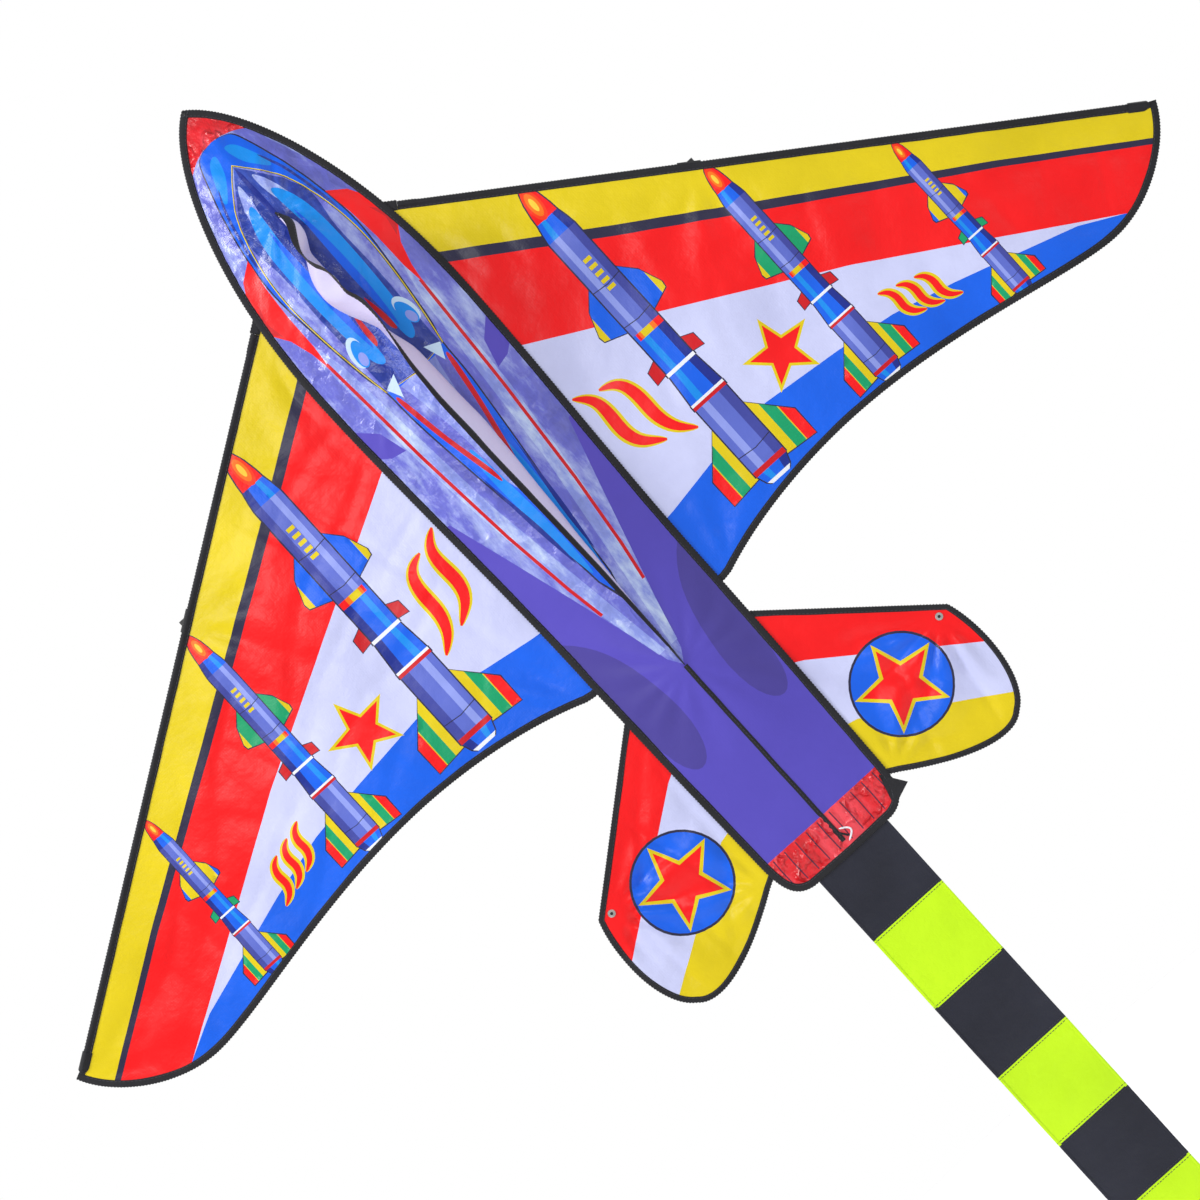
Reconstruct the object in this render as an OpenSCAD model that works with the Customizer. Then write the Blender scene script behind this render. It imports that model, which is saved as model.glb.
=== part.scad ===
// Airplane-shaped single-line kite: printed cloth sails on a fibreglass frame, a keel with
// a tow eyelet, and a striped ribbon tail. Nose up (+Z), printed face towards -Y, frame at
// the back (+Y). The origin is the centre of the tow eyelet in the keel.

/* [Sails] */
// Distance between the two wing tips
wing_span = 1456; // [1300:4:1600]
// Length of the body from the nose to the tail edge
body_length = 998; // [900:1:1100]
// Height of the belly ridge above the back panel
belly_height = 20; // [12:1:24]
// Depth of the keel from the belly ridge to the tow eyelet
keel_depth = 80; // [60:1:80]
// Thickness of every cloth panel
cloth = 0.6; // [0.4:0.1:0.6]
// Width of the black edge tape
tape_w = 7; // [6:0.5:10]

/* [Frame] */
// Diameter of the spine rod
spine_d = 4; // [3:0.5:4]
// Diameter of the main spreader rod
spreader_d = 4; // [3:0.5:4]
// Diameter of the tail spreader rod
tail_spreader_d = 3; // [2.5:0.5:3]
// Diameter of each leading edge rod
edge_rod_d = 3.5; // [3:0.5:3.5]

/* [Ribbon tail] */
// Width of the ribbon, which is also the length of each of its panels
ribbon_w = 92; // [60:1:92]
// Thickness of the folded bundle that holds the rest of the ribbon
bundle_t = 22; // [16:1:24]

/* [Hidden] */
$fn = 48;
eps = 0.01;

// The outlines below are drawn for a 1456 mm span and a 998 mm body, and scaled to fit.
wide = wing_span / 1456;
long = body_length / 998;

// Depths, front to back. The tow eyelet is at 0.
ridge_y = keel_depth;                    // front of the belly ridge, under the keel
back_y = ridge_y + belly_height + 1.5;   // front of the flat back panel
sail_y = back_y + cloth + 0.1;           // front of the wing and tailplane sails
sail_mid = sail_y + cloth / 2;
spine_y = sail_y + cloth + 0.7 + spine_d / 2 + 0.2;
spreader_y = spine_y + spine_d / 2 + 0.6 + spreader_d / 2;
tail_spreader_y = spine_y + spine_d / 2 + 0.6 + tail_spreader_d / 2;

// Stations along the body, as distances down from the nose.
tow_d = 242;
keel_front_d = 141;
keel_rear_d = 746;
wing_spreader_d0 = 380;
tail_spreader_d0 = 882;
tail_end_d = 998;

// A height from a distance below the nose, and a point of the sail plane from [x, distance].
function up(d) = (tow_d - d) * long;
function at(p) = [p[0] * wide, up(p[1])];

// A cubic curve through n + 1 points.
function curve(p, n) = [for (i = [0:n]) let (t = i / n, u = 1 - t)
    u * u * u * p[0] + 3 * u * u * t * p[1] + 3 * u * t * t * p[2] + t * t * t * p[3]];

// The same curve without its first point, to carry on an outline.
function curve_on(p, n) = let (c = curve(p, n)) [for (i = [1:n]) c[i]];

// ---- outlines, right half, as [x, distance below the nose] ----

// The leading edge is one straight line from the body to the tip.
edge_root = [97.5, 209];
edge_tip = [728, 644.5];
wing_outline = concat(
    [edge_root],
    curve([edge_tip, [712, 682], [655, 722], [600, 719]], 12),
    curve_on([[600, 719], [540, 716], [420, 676], [290, 676]], 12),
    curve_on([[290, 676], [220, 676], [150, 688], [97.5, 708]], 8)
);
body_outline = concat(
    curve([[0, 0], [46, 30], [95, 150], [95, 310]], 16),
    curve_on([[95, 310], [95, 430], [84, 560], [84, 700]], 8),
    [[82, 830]],
    curve([[79, 950], [78, 980], [72, 994], [52, tail_end_d - 1]], 6),
    [[0, tail_end_d]]
);
tailplane_outline = concat(
    [[88.5, 755]],
    curve([[235, 879], [248, 915], [247, 985], [217, 1005]], 10),
    curve_on([[217, 1005], [198, 1024], [150, 1010], [88.5, 970]], 10)
);
tailplane_corner = [235, 879];

// The leading edge as a direction, for the rod and its sleeve.
root_xz = at(edge_root);
tip_xz = at(edge_tip);
edge_length = norm(tip_xz - root_xz);
edge_angle = atan2(tip_xz[0] - root_xz[0], tip_xz[1] - root_xz[1]);
rod_inset = 3.4;          // the rod's axis lies this far inside the sail's outline
// The clip sits where the rod's axis crosses the spreader's height.
clip_s = (root_xz[1] - rod_inset * sin(edge_angle) - up(wing_spreader_d0)) / -cos(edge_angle);
clip_x = root_xz[0] + clip_s * sin(edge_angle) + rod_inset * cos(edge_angle);
rod_start = 8;            // distances along the leading edge
rod_end = edge_length - 14;

wing_hinge_x = 97 * wide;
tail_hinge_x = 88 * wide;

// ---- helpers ----

// A flat panel in the XZ plane, from y0 to y0 + t.
module plate(y0, t) {
    translate([0, y0 + t, 0]) rotate([90, 0, 0]) linear_extrude(t) children();
}
module half_shape(outline) {
    polygon([for (p = outline) at(p)]);
}
module on_left() {
    mirror([1, 0, 0]) children();
}
// Places children whose local Z runs down the leading edge, and whose local X points into the sail.
module along_edge(s) {
    translate([root_xz[0], sail_mid, root_xz[1]])
        rotate([0, edge_angle, 0])
            translate([rod_inset, 0, s]) children();
}
module rod_x(d, x0, x1, y, z) {
    translate([x0, y, z]) rotate([0, 90, 0]) cylinder(h = x1 - x0, d = d);
}
module rod_z(d, y, z0, z1) {
    translate([0, y, z0]) cylinder(h = z1 - z0, d = d);
}
// A tube end cap: a closed cylinder that holds the last part of a rod, mouth at local Z = 0.
module end_cap(rod_d, h, wall = 0.9) {
    difference() {
        cylinder(h = h, d = rod_d + 2 * wall);
        translate([0, 0, -1]) cylinder(h = h - 1, d = rod_d + 0.1);
    }
}
// A rolled metal eyelet through cloth, its hole along local Z.
module eyelet(hole_r, flange_r, grip) {
    rotate_extrude() {
        translate([hole_r, -grip / 2 - 0.7]) square([0.7, grip + 1.4]);
        for (s = [-1, 1])
            translate([hole_r, s > 0 ? grip / 2 : -grip / 2 - 0.7])
                square([flange_r - hole_r, 0.7]);
    }
}
// A cradle that a rod along X snaps into from behind, with two straight cheeks.
module cradle_cut(rod_d, length, y, x0, z) {
    rod_x(rod_d + 0.1, x0, x0 + length, y, z);
    translate([x0, y, z - rod_d / 2 - 0.05]) cube([length, 20, rod_d + 0.1]);
}

// ---- spine and its fittings ----

spine_top = up(14);
spine_bottom = up(984);
module spine_rod() {
    color("whitesmoke") rod_z(spine_d, spine_y, spine_bottom, spine_top);
}
module spine_nose_cap() {
    color("black") translate([0, spine_y, up(24)]) end_cap(spine_d, 12);
}
module spine_tail_cap() {
    color("black") translate([0, spine_y, up(974)]) mirror([0, 0, 1]) end_cap(spine_d, 12);
}
// A cloth channel sewn to the back panel around the spine, between two stations.
module spine_channel(d0, d1) {
    flange_y = sail_y + cloth + 0.05;
    translate([0, 0, up(d1)]) linear_extrude(up(d0) - up(d1)) difference() {
        union() {
            translate([0, spine_y]) circle(d = spine_d + 1.8);
            translate([-9, flange_y]) square([18, cloth]);
        }
        translate([0, spine_y]) circle(d = spine_d + 0.5);
    }
}
module spine_sleeve_front() {
    color("lavender") spine_channel(150, 360);
}
module spine_sleeve_rear() {
    color("lavender") {
        spine_channel(400, 700);
        spine_channel(726, 862);
        spine_channel(902, 942);
    }
}
// A cloth pocket that closes round a capped end of the spine, its mouth at station open_d.
module spine_pocket(outline, open_d, end_d) {
    difference() {
        plate(back_y + cloth + 0.05, spine_y - back_y - cloth + spine_d / 2 + 1.6)
            polygon([for (p = outline) at(p)]);
        translate([0, spine_y, min(up(open_d), up(end_d))])
            cylinder(h = abs(up(open_d) - up(end_d)), d = spine_d + 2);
    }
}
module nose_pocket() {
    color("black") spine_pocket([[-6, 7], [6, 7], [12, 50], [-12, 50]], 51, 11.5);
}
module tail_pocket() {
    color("black") spine_pocket([[-13, 950], [13, 950], [13, 990], [-13, 990]], 949, 986.5);
}
// A moulded fitting that grips the spine and holds a spreader in an open cradle behind it.
module cross_clip(d0, rod_d, rod_y) {
    z = up(d0);
    difference() {
        union() {
            translate([0, spine_y, z - 9]) cylinder(h = 18, d = spine_d + 5);
            translate([-11, spine_y, z - rod_d / 2 - 2.4])
                cube([22, rod_y - spine_y + 1.9, rod_d + 4.8]);
        }
        translate([0, spine_y, z - 10]) cylinder(h = 20, d = spine_d + 0.1);
        // The front is flat, against the cloth.
        translate([-12, sail_y - 20, z - 12]) cube([24, 20 + cloth + 0.05, 24]);
        cradle_cut(rod_d, 24, rod_y, -12, z);
    }
}
module wing_cross_clip() {
    color("black") cross_clip(wing_spreader_d0, spreader_d, spreader_y);
}
module tail_cross_clip() {
    color("black") cross_clip(tail_spreader_d0, tail_spreader_d, tail_spreader_y);
}

// ---- body cloth ----

module body_shape() {
    n = len(body_outline);
    polygon(concat([for (p = body_outline) at(p)],
        [for (i = [n - 2:-1:1]) at([-body_outline[i][0], body_outline[i][1]])]));
}
module body_back_panel() {
    color("slateblue") plate(back_y, cloth) body_shape();
}
// Height of the belly ridge above the edge, at a station. It is flat under the end tapes.
ridge_nose_d = 22;
ridge_tail_d = tail_end_d - 12;
function ridge_h(d) =
    let (nose = max(0, d - ridge_nose_d) / (keel_front_d - ridge_nose_d),
        tail = (ridge_tail_d - d) / (ridge_tail_d - keel_rear_d))
    belly_height * max(0, min(1, sqrt(nose), tail));
belly_columns = [0, 0.2, 0.4, 0.6, 0.8, 1];
belly_edge_y = back_y - 0.9;
// One cross-section of the right belly panel: from the ridge out to the flat strip under the
// tape. The strip is wider, measured across, where the outline slants.
function belly_row(i) =
    let (p = body_outline[i], run = body_outline[i + 1] - body_outline[i - 1],
        strip = (tape_w + 0.4) * norm(run) / max(1, abs(run[1])),
        flat = max(p[0] - strip, p[0] * 0.2), h = ridge_h(p[1]))
    concat(
        [for (s = belly_columns)
            [flat * s * wide, belly_edge_y - h * (1 - s) - h * 0.18 * sin(180 * s), up(p[1])]],
        [[p[0] * wide, belly_edge_y, up(p[1])]]
    );
// A thin solid from a grid of front points, thickened by t towards +Y.
module cloth_grid(rows, t) {
    n = len(rows[0]);
    m = len(rows);
    front = [for (r = rows) for (p = r) p];
    behind = [for (p = front) p + [0, t, 0]];
    k = n * m;
    function quad(a, b, c, d) = [[a, b, c], [a, c, d]];
    faces = [
        for (j = [0:m - 2]) for (i = [0:n - 2]) let (a = j * n + i)
            for (f = concat(quad(a, a + 1, a + n + 1, a + n),
                            quad(k + a, k + a + n, k + a + n + 1, k + a + 1))) f,
        for (j = [0:m - 2]) let (a = j * n, b = j * n + n - 1)
            for (f = concat(quad(a, a + n, k + a + n, k + a),
                            quad(b, k + b, k + b + n, b + n))) f,
        for (i = [0:n - 2]) let (a = i, b = (m - 1) * n + i)
            for (f = concat(quad(a, k + a, k + a + 1, a + 1),
                            quad(b, b + 1, k + b + 1, k + b))) f
    ];
    polyhedron(concat(front, behind), faces);
}
module belly_panel() {
    color("slateblue") cloth_grid([for (i = [1:len(body_outline) - 2]) belly_row(i)], 0.8);
}
// Black tape round the whole body, over the front of its edge and down its side.
module body_edge_tape() {
    front = belly_edge_y - 0.7;
    color("black") difference() {
        plate(front, back_y + cloth - front) difference() {
            offset(delta = 0.6) body_shape();
            offset(delta = -tape_w + 0.6) body_shape();
        }
        plate(belly_edge_y - 0.02, 5) body_shape();
    }
}
// A narrow tape on the belly ridge, behind the keel.
module belly_seam_tape() {
    stations = [keel_rear_d + 3, 984];
    rows = [for (d = stations)
        [for (x = [-2.5, 2.5]) [x, belly_edge_y - ridge_h(d) - 0.75, up(d)]]];
    color("black") cloth_grid(rows, 0.5);
}
module wing_centre_panel() {
    w = 97;
    color("red") plate(sail_y, cloth)
        polygon([for (p = [[0, 142], [w, 209], [w, 708], [-w, 708], [-w, 209]]) at(p)]);
}
module tailplane_centre_panel() {
    w = 88;
    color("red") plate(sail_y, cloth)
        polygon([for (p = [[-45, 718], [45, 718], [w, 755], [w, 970], [16, 947], [-16, 947],
            [-w, 970], [-w, 755]]) at(p)]);
}
module ribbon_tab() {
    color("black") plate(sail_y, cloth)
        polygon([for (p = [[-1, 991.5], [1, 991.5], [1, 1001], [-1, 1001]])
            [p[0] * ribbon_w / 2, up(p[1])]]);
}

// ---- spreaders ----

spreader_tip = clip_x + 4;
tail_tip = (tailplane_corner[0] - 4) * wide;
module wing_spreader_rod() {
    color("whitesmoke")
        rod_x(spreader_d, -spreader_tip + 1, spreader_tip - 1, spreader_y, up(wing_spreader_d0));
}
module tail_spreader_rod() {
    color("whitesmoke")
        rod_x(tail_spreader_d, -tail_tip + 1, tail_tip - 1, tail_spreader_y, up(tail_spreader_d0));
}
// Two caps on a spreader, inboard of its clips, that stop it sliding sideways.
module stop_rings(rod_d, x, y, z) {
    for (s = [0, 1]) mirror([s, 0, 0])
        translate([x, y, z]) rotate([0, 90, 0]) difference() {
            cylinder(h = 6, d = rod_d + 3);
            translate([0, 0, -1]) cylinder(h = 8, d = rod_d + 0.1);
        }
}
module wing_spreader_caps() {
    color("black") stop_rings(spreader_d, 13, spreader_y, up(wing_spreader_d0));
}
module tail_spreader_caps() {
    color("black") stop_rings(tail_spreader_d, 13, tail_spreader_y, up(tail_spreader_d0));
}

// ---- wings, drawn on the right ----

module wing_shape() {
    half_shape(wing_outline);
}
// The same outline carried on towards the body, so that the root edge gets no tape.
module wing_and_root() {
    polygon(concat([at([40, 209])], [for (p = wing_outline) at(p)], [at([40, 716])]));
}
module sail_of_wing() {
    color("red") difference() {
        plate(sail_y, cloth) wing_shape();
        // The cloth stops short of the rod.
        along_edge(-20) translate([-20, -5, 0]) cube([22.9, 10, edge_length + 40]);
    }
}
module edge_rod_of_wing() {
    color("whitesmoke") along_edge(rod_start) cylinder(h = rod_end - rod_start, d = edge_rod_d);
}
sleeve_r = edge_rod_d / 2 + 1;
module edge_sleeve_of_wing() {
    s0 = rod_start + 13;
    s1 = rod_end - 13;
    color("black") difference() {
        along_edge(s0) linear_extrude(s1 - s0) difference() {
            union() {
                circle(r = sleeve_r);
                translate([0, -cloth / 2 - 0.5]) square([tape_w - 1, cloth + 1]);
            }
            circle(d = edge_rod_d + 0.5);
            translate([0.6, -cloth / 2]) square([tape_w + 5, cloth]);
        }
        // The back of the sleeve is cut away for the spreader clip.
        along_edge(clip_s - 14) translate([-6, -0.8, 0]) cube([tape_w + 12, 8, 28]);
    }
}
module rod_root_cap_of_wing() {
    color("black") along_edge(rod_start + 10) mirror([0, 0, 1]) end_cap(edge_rod_d, 12);
}
module rod_tip_cap_of_wing() {
    color("black") along_edge(rod_end - 10) end_cap(edge_rod_d, 12);
}
// A doubled patch at the tip that closes over the capped rod.
module tip_pocket_of_wing() {
    color("black") difference() {
        along_edge(rod_end - 12) translate([-4, -3.4, 0]) cube([11, 6.8, 20]);
        along_edge(rod_end - 13) cylinder(h = 15, d = edge_rod_d + 2);
        plate(sail_y, cloth) wing_shape();
    }
}
// Tape folded over the tip and the trailing edge.
module edge_tape_of_wing() {
    color("black") difference() {
        plate(sail_y - 0.5, cloth + 1) intersection() {
            difference() {
                offset(delta = 1) wing_and_root();
                offset(delta = -tape_w + 1) wing_and_root();
            }
            translate([wing_hinge_x + 1, up(1200)]) square([wing_span, up(0) - up(1200)]);
        }
        plate(sail_y, cloth) wing_shape();
        along_edge(-30) translate([-30, -5, 0]) cube([30 + tape_w + 1, 10, edge_length + 14]);
        along_edge(rod_end - 14) translate([-5, -5, 0]) cube([13, 10, 23]);
    }
}
// The clip grips the leading edge rod from behind and holds the spreader's end in a cradle.
module spreader_clip_of_wing() {
    z = up(wing_spreader_d0);
    axis_x = clip_x;
    color("black") difference() {
        union() {
            along_edge(clip_s - 12) cylinder(h = 24, r = edge_rod_d / 2 + 2.1);
            translate([axis_x - 19, sail_y + cloth + 0.7, z - spreader_d / 2 - 2.4])
                cube([26, spreader_y - sail_y - cloth + 1.2, spreader_d + 4.8]);
        }
        along_edge(clip_s - 14) cylinder(h = 28, d = edge_rod_d + 0.1);
        along_edge(clip_s - 14) translate([-8, -8, 0]) cube([16, 7.2, 28]);
        along_edge(clip_s - 14) translate([2.4, -0.9, 0]) cube([8, 1.9, 28]);
        cradle_cut(spreader_d, 24, spreader_y, axis_x - 20, z);
    }
}
module wing_piece(piece) {
    if (piece == "sail") sail_of_wing();
    if (piece == "edge_rod") edge_rod_of_wing();
    if (piece == "edge_sleeve") edge_sleeve_of_wing();
    if (piece == "rod_root_cap") rod_root_cap_of_wing();
    if (piece == "rod_tip_cap") rod_tip_cap_of_wing();
    if (piece == "tip_pocket") tip_pocket_of_wing();
    if (piece == "edge_tape") edge_tape_of_wing();
    if (piece == "spreader_clip") spreader_clip_of_wing();
}

// ---- tailplanes, drawn on the right ----

tail_eyelet = [221, 882];
module tailplane_shape() {
    half_shape(tailplane_outline);
}
module tailplane_and_root() {
    polygon(concat([at([40, 714])], [for (p = tailplane_outline) at(p)], [at([40, 937])]));
}
module sail_of_tailplane() {
    color("crimson") difference() {
        plate(sail_y, cloth) tailplane_shape();
        translate([tail_eyelet[0] * wide, sail_mid, up(tail_eyelet[1])]) rotate([90, 0, 0])
            cylinder(h = 4, r = 2.4, center = true);
    }
}
module edge_tape_of_tailplane() {
    color("black") difference() {
        plate(sail_y - 0.5, cloth + 1) intersection() {
            difference() {
                offset(delta = 1) tailplane_and_root();
                offset(delta = -tape_w + 2) tailplane_and_root();
            }
            translate([tail_hinge_x + 1, up(1200)]) square([wing_span, up(0) - up(1200)]);
        }
        plate(sail_y, cloth) tailplane_shape();
        // Room for the clip at the corner.
        translate([tail_eyelet[0] * wide - 7, sail_mid, up(tail_eyelet[1]) - 5]) cube([26, 5, 10]);
    }
}
module eyelet_of_tailplane() {
    color("silver") translate([tail_eyelet[0] * wide, sail_mid, up(tail_eyelet[1])])
        rotate([90, 0, 0]) eyelet(1.6, 4, cloth + 0.05);
}
// A small cradle behind the corner, held by a stud through the eyelet.
module spreader_clip_of_tailplane() {
    x = tail_eyelet[0] * wide;
    z = up(tail_eyelet[1]);
    front = sail_mid + cloth / 2 + 0.8;
    color("black") difference() {
        union() {
            translate([x - 5, front, z - 4]) cube([19, tail_spreader_y - front + 1.6, 8]);
            translate([x, front + 1, z]) rotate([90, 0, 0]) cylinder(h = 2.6, r = 1.55);
        }
        cradle_cut(tail_spreader_d, 16, tail_spreader_y, x - 6, z);
    }
}
module tailplane_piece(piece) {
    if (piece == "sail") sail_of_tailplane();
    if (piece == "edge_tape") edge_tape_of_tailplane();
    if (piece == "eyelet") eyelet_of_tailplane();
    if (piece == "spreader_clip") spreader_clip_of_tailplane();
}

// ---- keel ----

keel_base_y = ridge_y - 0.5;
keel_lip = 11;   // cloth beyond the centre of the tow eyelet
// The keel's free edge, as [y, distance below the nose].
keel_edge = concat(
    curve([[keel_base_y, keel_front_d], [62, 160], [24, 190], [-5, 230]], 8),
    [for (a = [-50:25:75]) [-keel_lip * cos(a), tow_d + keel_lip * sin(a)]],
    curve([[2, 262], [16, 350], [44, 560], [keel_base_y, keel_rear_d]], 14)
);
module keel_shape() {
    polygon([for (p = keel_edge) [p[0], up(p[1])]]);
}
// A flat panel in the YZ plane, t thick about x = 0.
module side_plate(t) {
    translate([-t / 2, 0, 0]) rotate([90, 0, 90]) linear_extrude(t) children();
}
module keel_flap() {
    color("thistle") difference() {
        side_plate(cloth) keel_shape();
        rotate([0, 90, 0]) cylinder(h = 5, r = 3.3, center = true);
    }
}
module keel_edge_tape() {
    color("black") difference() {
        side_plate(cloth + 1) intersection() {
            difference() {
                offset(delta = 1) keel_shape();
                offset(delta = -5) keel_shape();
            }
            translate([-50, up(1000)]) square([50 + keel_base_y - 1.2, up(0) - up(1000)]);
            difference() {
                translate([-50, up(1000)]) square([200, up(0) - up(1000)]);
                translate([keel_base_y - 6.2, up(keel_rear_d - 40)])
                    square([10, up(keel_front_d + 12) - up(keel_rear_d - 40)]);
            }
        }
        side_plate(cloth) keel_shape();
    }
}
module tow_eyelet() {
    color("silver") rotate([0, 90, 0]) eyelet(2.5, 5, cloth + 0.05);
}

// ---- ribbon tail ----

ribbon_top = up(1002);
first_panel = 77;
// The panels join at seams, with a narrow gap at the two fold lines.
function panel_top(i) = ribbon_top - (i == 0 ? 0 : first_panel + (i - 1) * ribbon_w);
module ribbon_panel(i) {
    z1 = panel_top(i);
    z0 = panel_top(i + 1) + (i == 2 ? 1 : 0);
    color(i % 2 == 0 ? "black" : "greenyellow")
        translate([-ribbon_w / 2, sail_y, z0]) cube([ribbon_w, cloth, z1 - z0]);
}
bundle_h = ribbon_w + 4;
module ribbon_bundle() {
    color("greenyellow")
        translate([-ribbon_w / 2, sail_mid - bundle_t / 2, panel_top(6) - bundle_h])
            cube([ribbon_w, bundle_t, bundle_h]);
}
module ribbon_band() {
    z = panel_top(6) - bundle_h / 2;
    color("tan") translate([0, sail_mid, z]) difference() {
        cube([ribbon_w + 3, bundle_t + 3, 5], center = true);
        cube([ribbon_w, bundle_t, 7], center = true);
    }
}

// ---- nodes ----

spine_rod();
spine_nose_cap();
spine_tail_cap();
spine_sleeve_front();
spine_sleeve_rear();
nose_pocket();
tail_pocket();
wing_cross_clip();
tail_cross_clip();
body_back_panel();
on_left() belly_panel();  // belly_panel_left
belly_panel();  // belly_panel_right
body_edge_tape();
belly_seam_tape();
wing_centre_panel();
tailplane_centre_panel();
ribbon_tab();
wing_spreader_rod();
wing_spreader_caps();
tail_spreader_rod();
tail_spreader_caps();
for (piece = ["sail", "edge_rod", "edge_sleeve", "rod_root_cap", "rod_tip_cap", "tip_pocket",
        "edge_tape", "spreader_clip"]) {
    on_left() wing_piece(piece);
    wing_piece(piece);
}
for (piece = ["sail", "edge_tape", "eyelet", "spreader_clip"]) {
    on_left() tailplane_piece(piece);
    tailplane_piece(piece);
}
keel_flap();
keel_edge_tape();
tow_eyelet();
for (i = [1:6])
    ribbon_panel(i - 1);
ribbon_bundle();
ribbon_band();
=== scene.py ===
from math import atan2, ceil, copysign, cos, exp, hypot, pi, radians, sin, sqrt

import bpy
import numpy as np
from mathutils import Matrix, Vector, noise
from mathutils.geometry import delaunay_2d_cdt
from mathutils.kdtree import KDTree


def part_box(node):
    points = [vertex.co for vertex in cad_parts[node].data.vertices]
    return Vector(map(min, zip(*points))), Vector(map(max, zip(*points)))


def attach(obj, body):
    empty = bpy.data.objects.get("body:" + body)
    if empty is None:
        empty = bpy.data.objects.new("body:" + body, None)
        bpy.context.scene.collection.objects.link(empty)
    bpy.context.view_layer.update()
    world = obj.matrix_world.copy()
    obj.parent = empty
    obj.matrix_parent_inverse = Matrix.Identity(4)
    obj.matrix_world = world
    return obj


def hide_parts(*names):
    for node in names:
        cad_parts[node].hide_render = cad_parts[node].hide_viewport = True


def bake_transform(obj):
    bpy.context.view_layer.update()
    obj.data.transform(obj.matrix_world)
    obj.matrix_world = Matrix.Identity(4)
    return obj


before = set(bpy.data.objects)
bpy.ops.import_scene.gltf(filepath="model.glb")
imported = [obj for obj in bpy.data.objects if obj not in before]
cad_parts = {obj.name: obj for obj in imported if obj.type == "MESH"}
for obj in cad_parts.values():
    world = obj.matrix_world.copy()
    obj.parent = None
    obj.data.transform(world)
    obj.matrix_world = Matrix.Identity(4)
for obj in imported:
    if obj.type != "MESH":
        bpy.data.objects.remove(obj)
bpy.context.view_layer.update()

# ---- the kite's own coordinates: x across, d down from the nose, both in millimetres ----

TOW_D = 242.0


def up(d):
    """Height in the shared frame, whose zero is the tow point."""
    return (TOW_D - d) / 1000.0


def wander(a, b, c):
    """A smooth random value between -1 and 1, the same each run."""
    return noise.noise(Vector((a, b, c)))


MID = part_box("wing_right_sail")[0][1] + 0.0003  # the middle of the sails' thickness
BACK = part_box("body_back_panel")[0][1]  # the back panel's front face
EDGE_Y = BACK - 0.0009  # the belly cloth where it is sewn to the back
RIDGE = 0.080  # the keel's seam, along the top of the belly
BELLY = 0.020  # how far the belly stands out
KEEL_FRONT, KEEL_REAR = 141, 746  # the seam's two ends
SPINE = (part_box("spine_rod")[0][1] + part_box("spine_rod")[1][1]) / 2  # the rod's axis


def curve(p, n, skip=0):
    """Points along a cubic curve with four control points."""
    out = []
    for i in range(skip, n + 1):
        t = i / n
        u = 1 - t
        w = (u * u * u, 3 * u * u * t, 3 * u * t * t, t * t * t)
        out.append((sum(a * q[0] for a, q in zip(w, p)), sum(a * q[1] for a, q in zip(w, p))))
    return out


TIP = (728.0, 644.5)
ROOT = (97.5, 209.0)
SLOPE = (TIP[1] - ROOT[1]) / (TIP[0] - ROOT[0])


def lead(x):
    """The leading edge's distance below the nose."""
    return ROOT[1] + (x - ROOT[0]) * SLOPE


# The outlines' right halves.
trailing = (
    curve([TIP, (712, 682), (655, 722), (600, 719)], 24)
    + curve([(600, 719), (540, 716), (420, 676), (290, 676)], 30, 1)
    + curve([(290, 676), (220, 676), (150, 688), (97.5, 708)], 20, 1)
)
body_side = (
    curve([(0, 0), (46, 30), (95, 150), (95, 310)], 48)
    + curve([(95, 310), (95, 430), (84, 560), (84, 700)], 24, 1)
    + [(83, 765), (82, 830)]
    + curve([(79, 950), (78, 980), (72, 994), (52, 997)], 16)
    + [(26, 997.6), (0, 998)]
)
tail_side = (
    curve([(235, 879), (248, 915), (247, 985), (217, 1005)], 24)
    + curve([(217, 1005), (198, 1024), (150, 1010), (88.5, 970)], 24, 1)
)
half_d = [p[1] for p in body_side]
half_x = [p[0] for p in body_side]


def half_width(d):
    """The body's half width at a distance below the nose."""
    return float(np.interp(d, half_d, half_x))


def mirrored(poly):
    """The same outline on the other side, running the same way round."""
    return [(-x, d) for x, d in reversed(poly)]


# ---- colours, as sRGB bytes ----

COLOURS = {
    "yellow": (226, 202, 0),
    "red": (250, 0, 8),
    "deepred": (205, 10, 24),
    "pale": (204, 208, 248),
    "royal": (0, 96, 232),
    "deepblue": (18, 40, 140),
    "navy": (38, 36, 66),
    "canopy": (22, 50, 150),
    "azure": (0, 140, 235),
    "glint": (200, 225, 250),
    "indigo": (84, 72, 186),
    "tongue": (72, 62, 152),
    "satin": (104, 108, 208),
    # A lighter copy of the satin: painted sheen.
    "satin_light": (136, 150, 226),
    "steel": (92, 108, 202),
    "steel_light": (142, 156, 232),
    "steel_dark": (62, 70, 158),
    "ember": (255, 54, 8),
    "orange": (255, 116, 12),
    "flare": (255, 206, 60),
    "green": (0, 160, 104),
    "white": (236, 238, 246),
    "keel": (206, 200, 236),
    "lime": (200, 248, 0),
    "ribbon": (30, 32, 46),
    "tape": (26, 26, 31),
    "band": (196, 186, 150),
    "thread": (58, 58, 66),
    "gathered": (226, 14, 30),
}


def linear(rgb):
    """The renderer's linear colour for sRGB bytes."""
    return [
        c / 255 / 12.92 if c / 255 <= 0.04045 else ((c / 255 + 0.055) / 1.055) ** 2.4 for c in rgb
    ]


# ---- materials ----


def add_node(tree, kind, values=None, **settings):
    """A shader node with its settings and the values of its inputs."""
    n = tree.nodes.new("ShaderNode" + kind)
    for key, value in settings.items():
        setattr(n, key, value)
    for key, value in (values or {}).items():
        n.inputs[key].default_value = value
    return n


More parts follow.
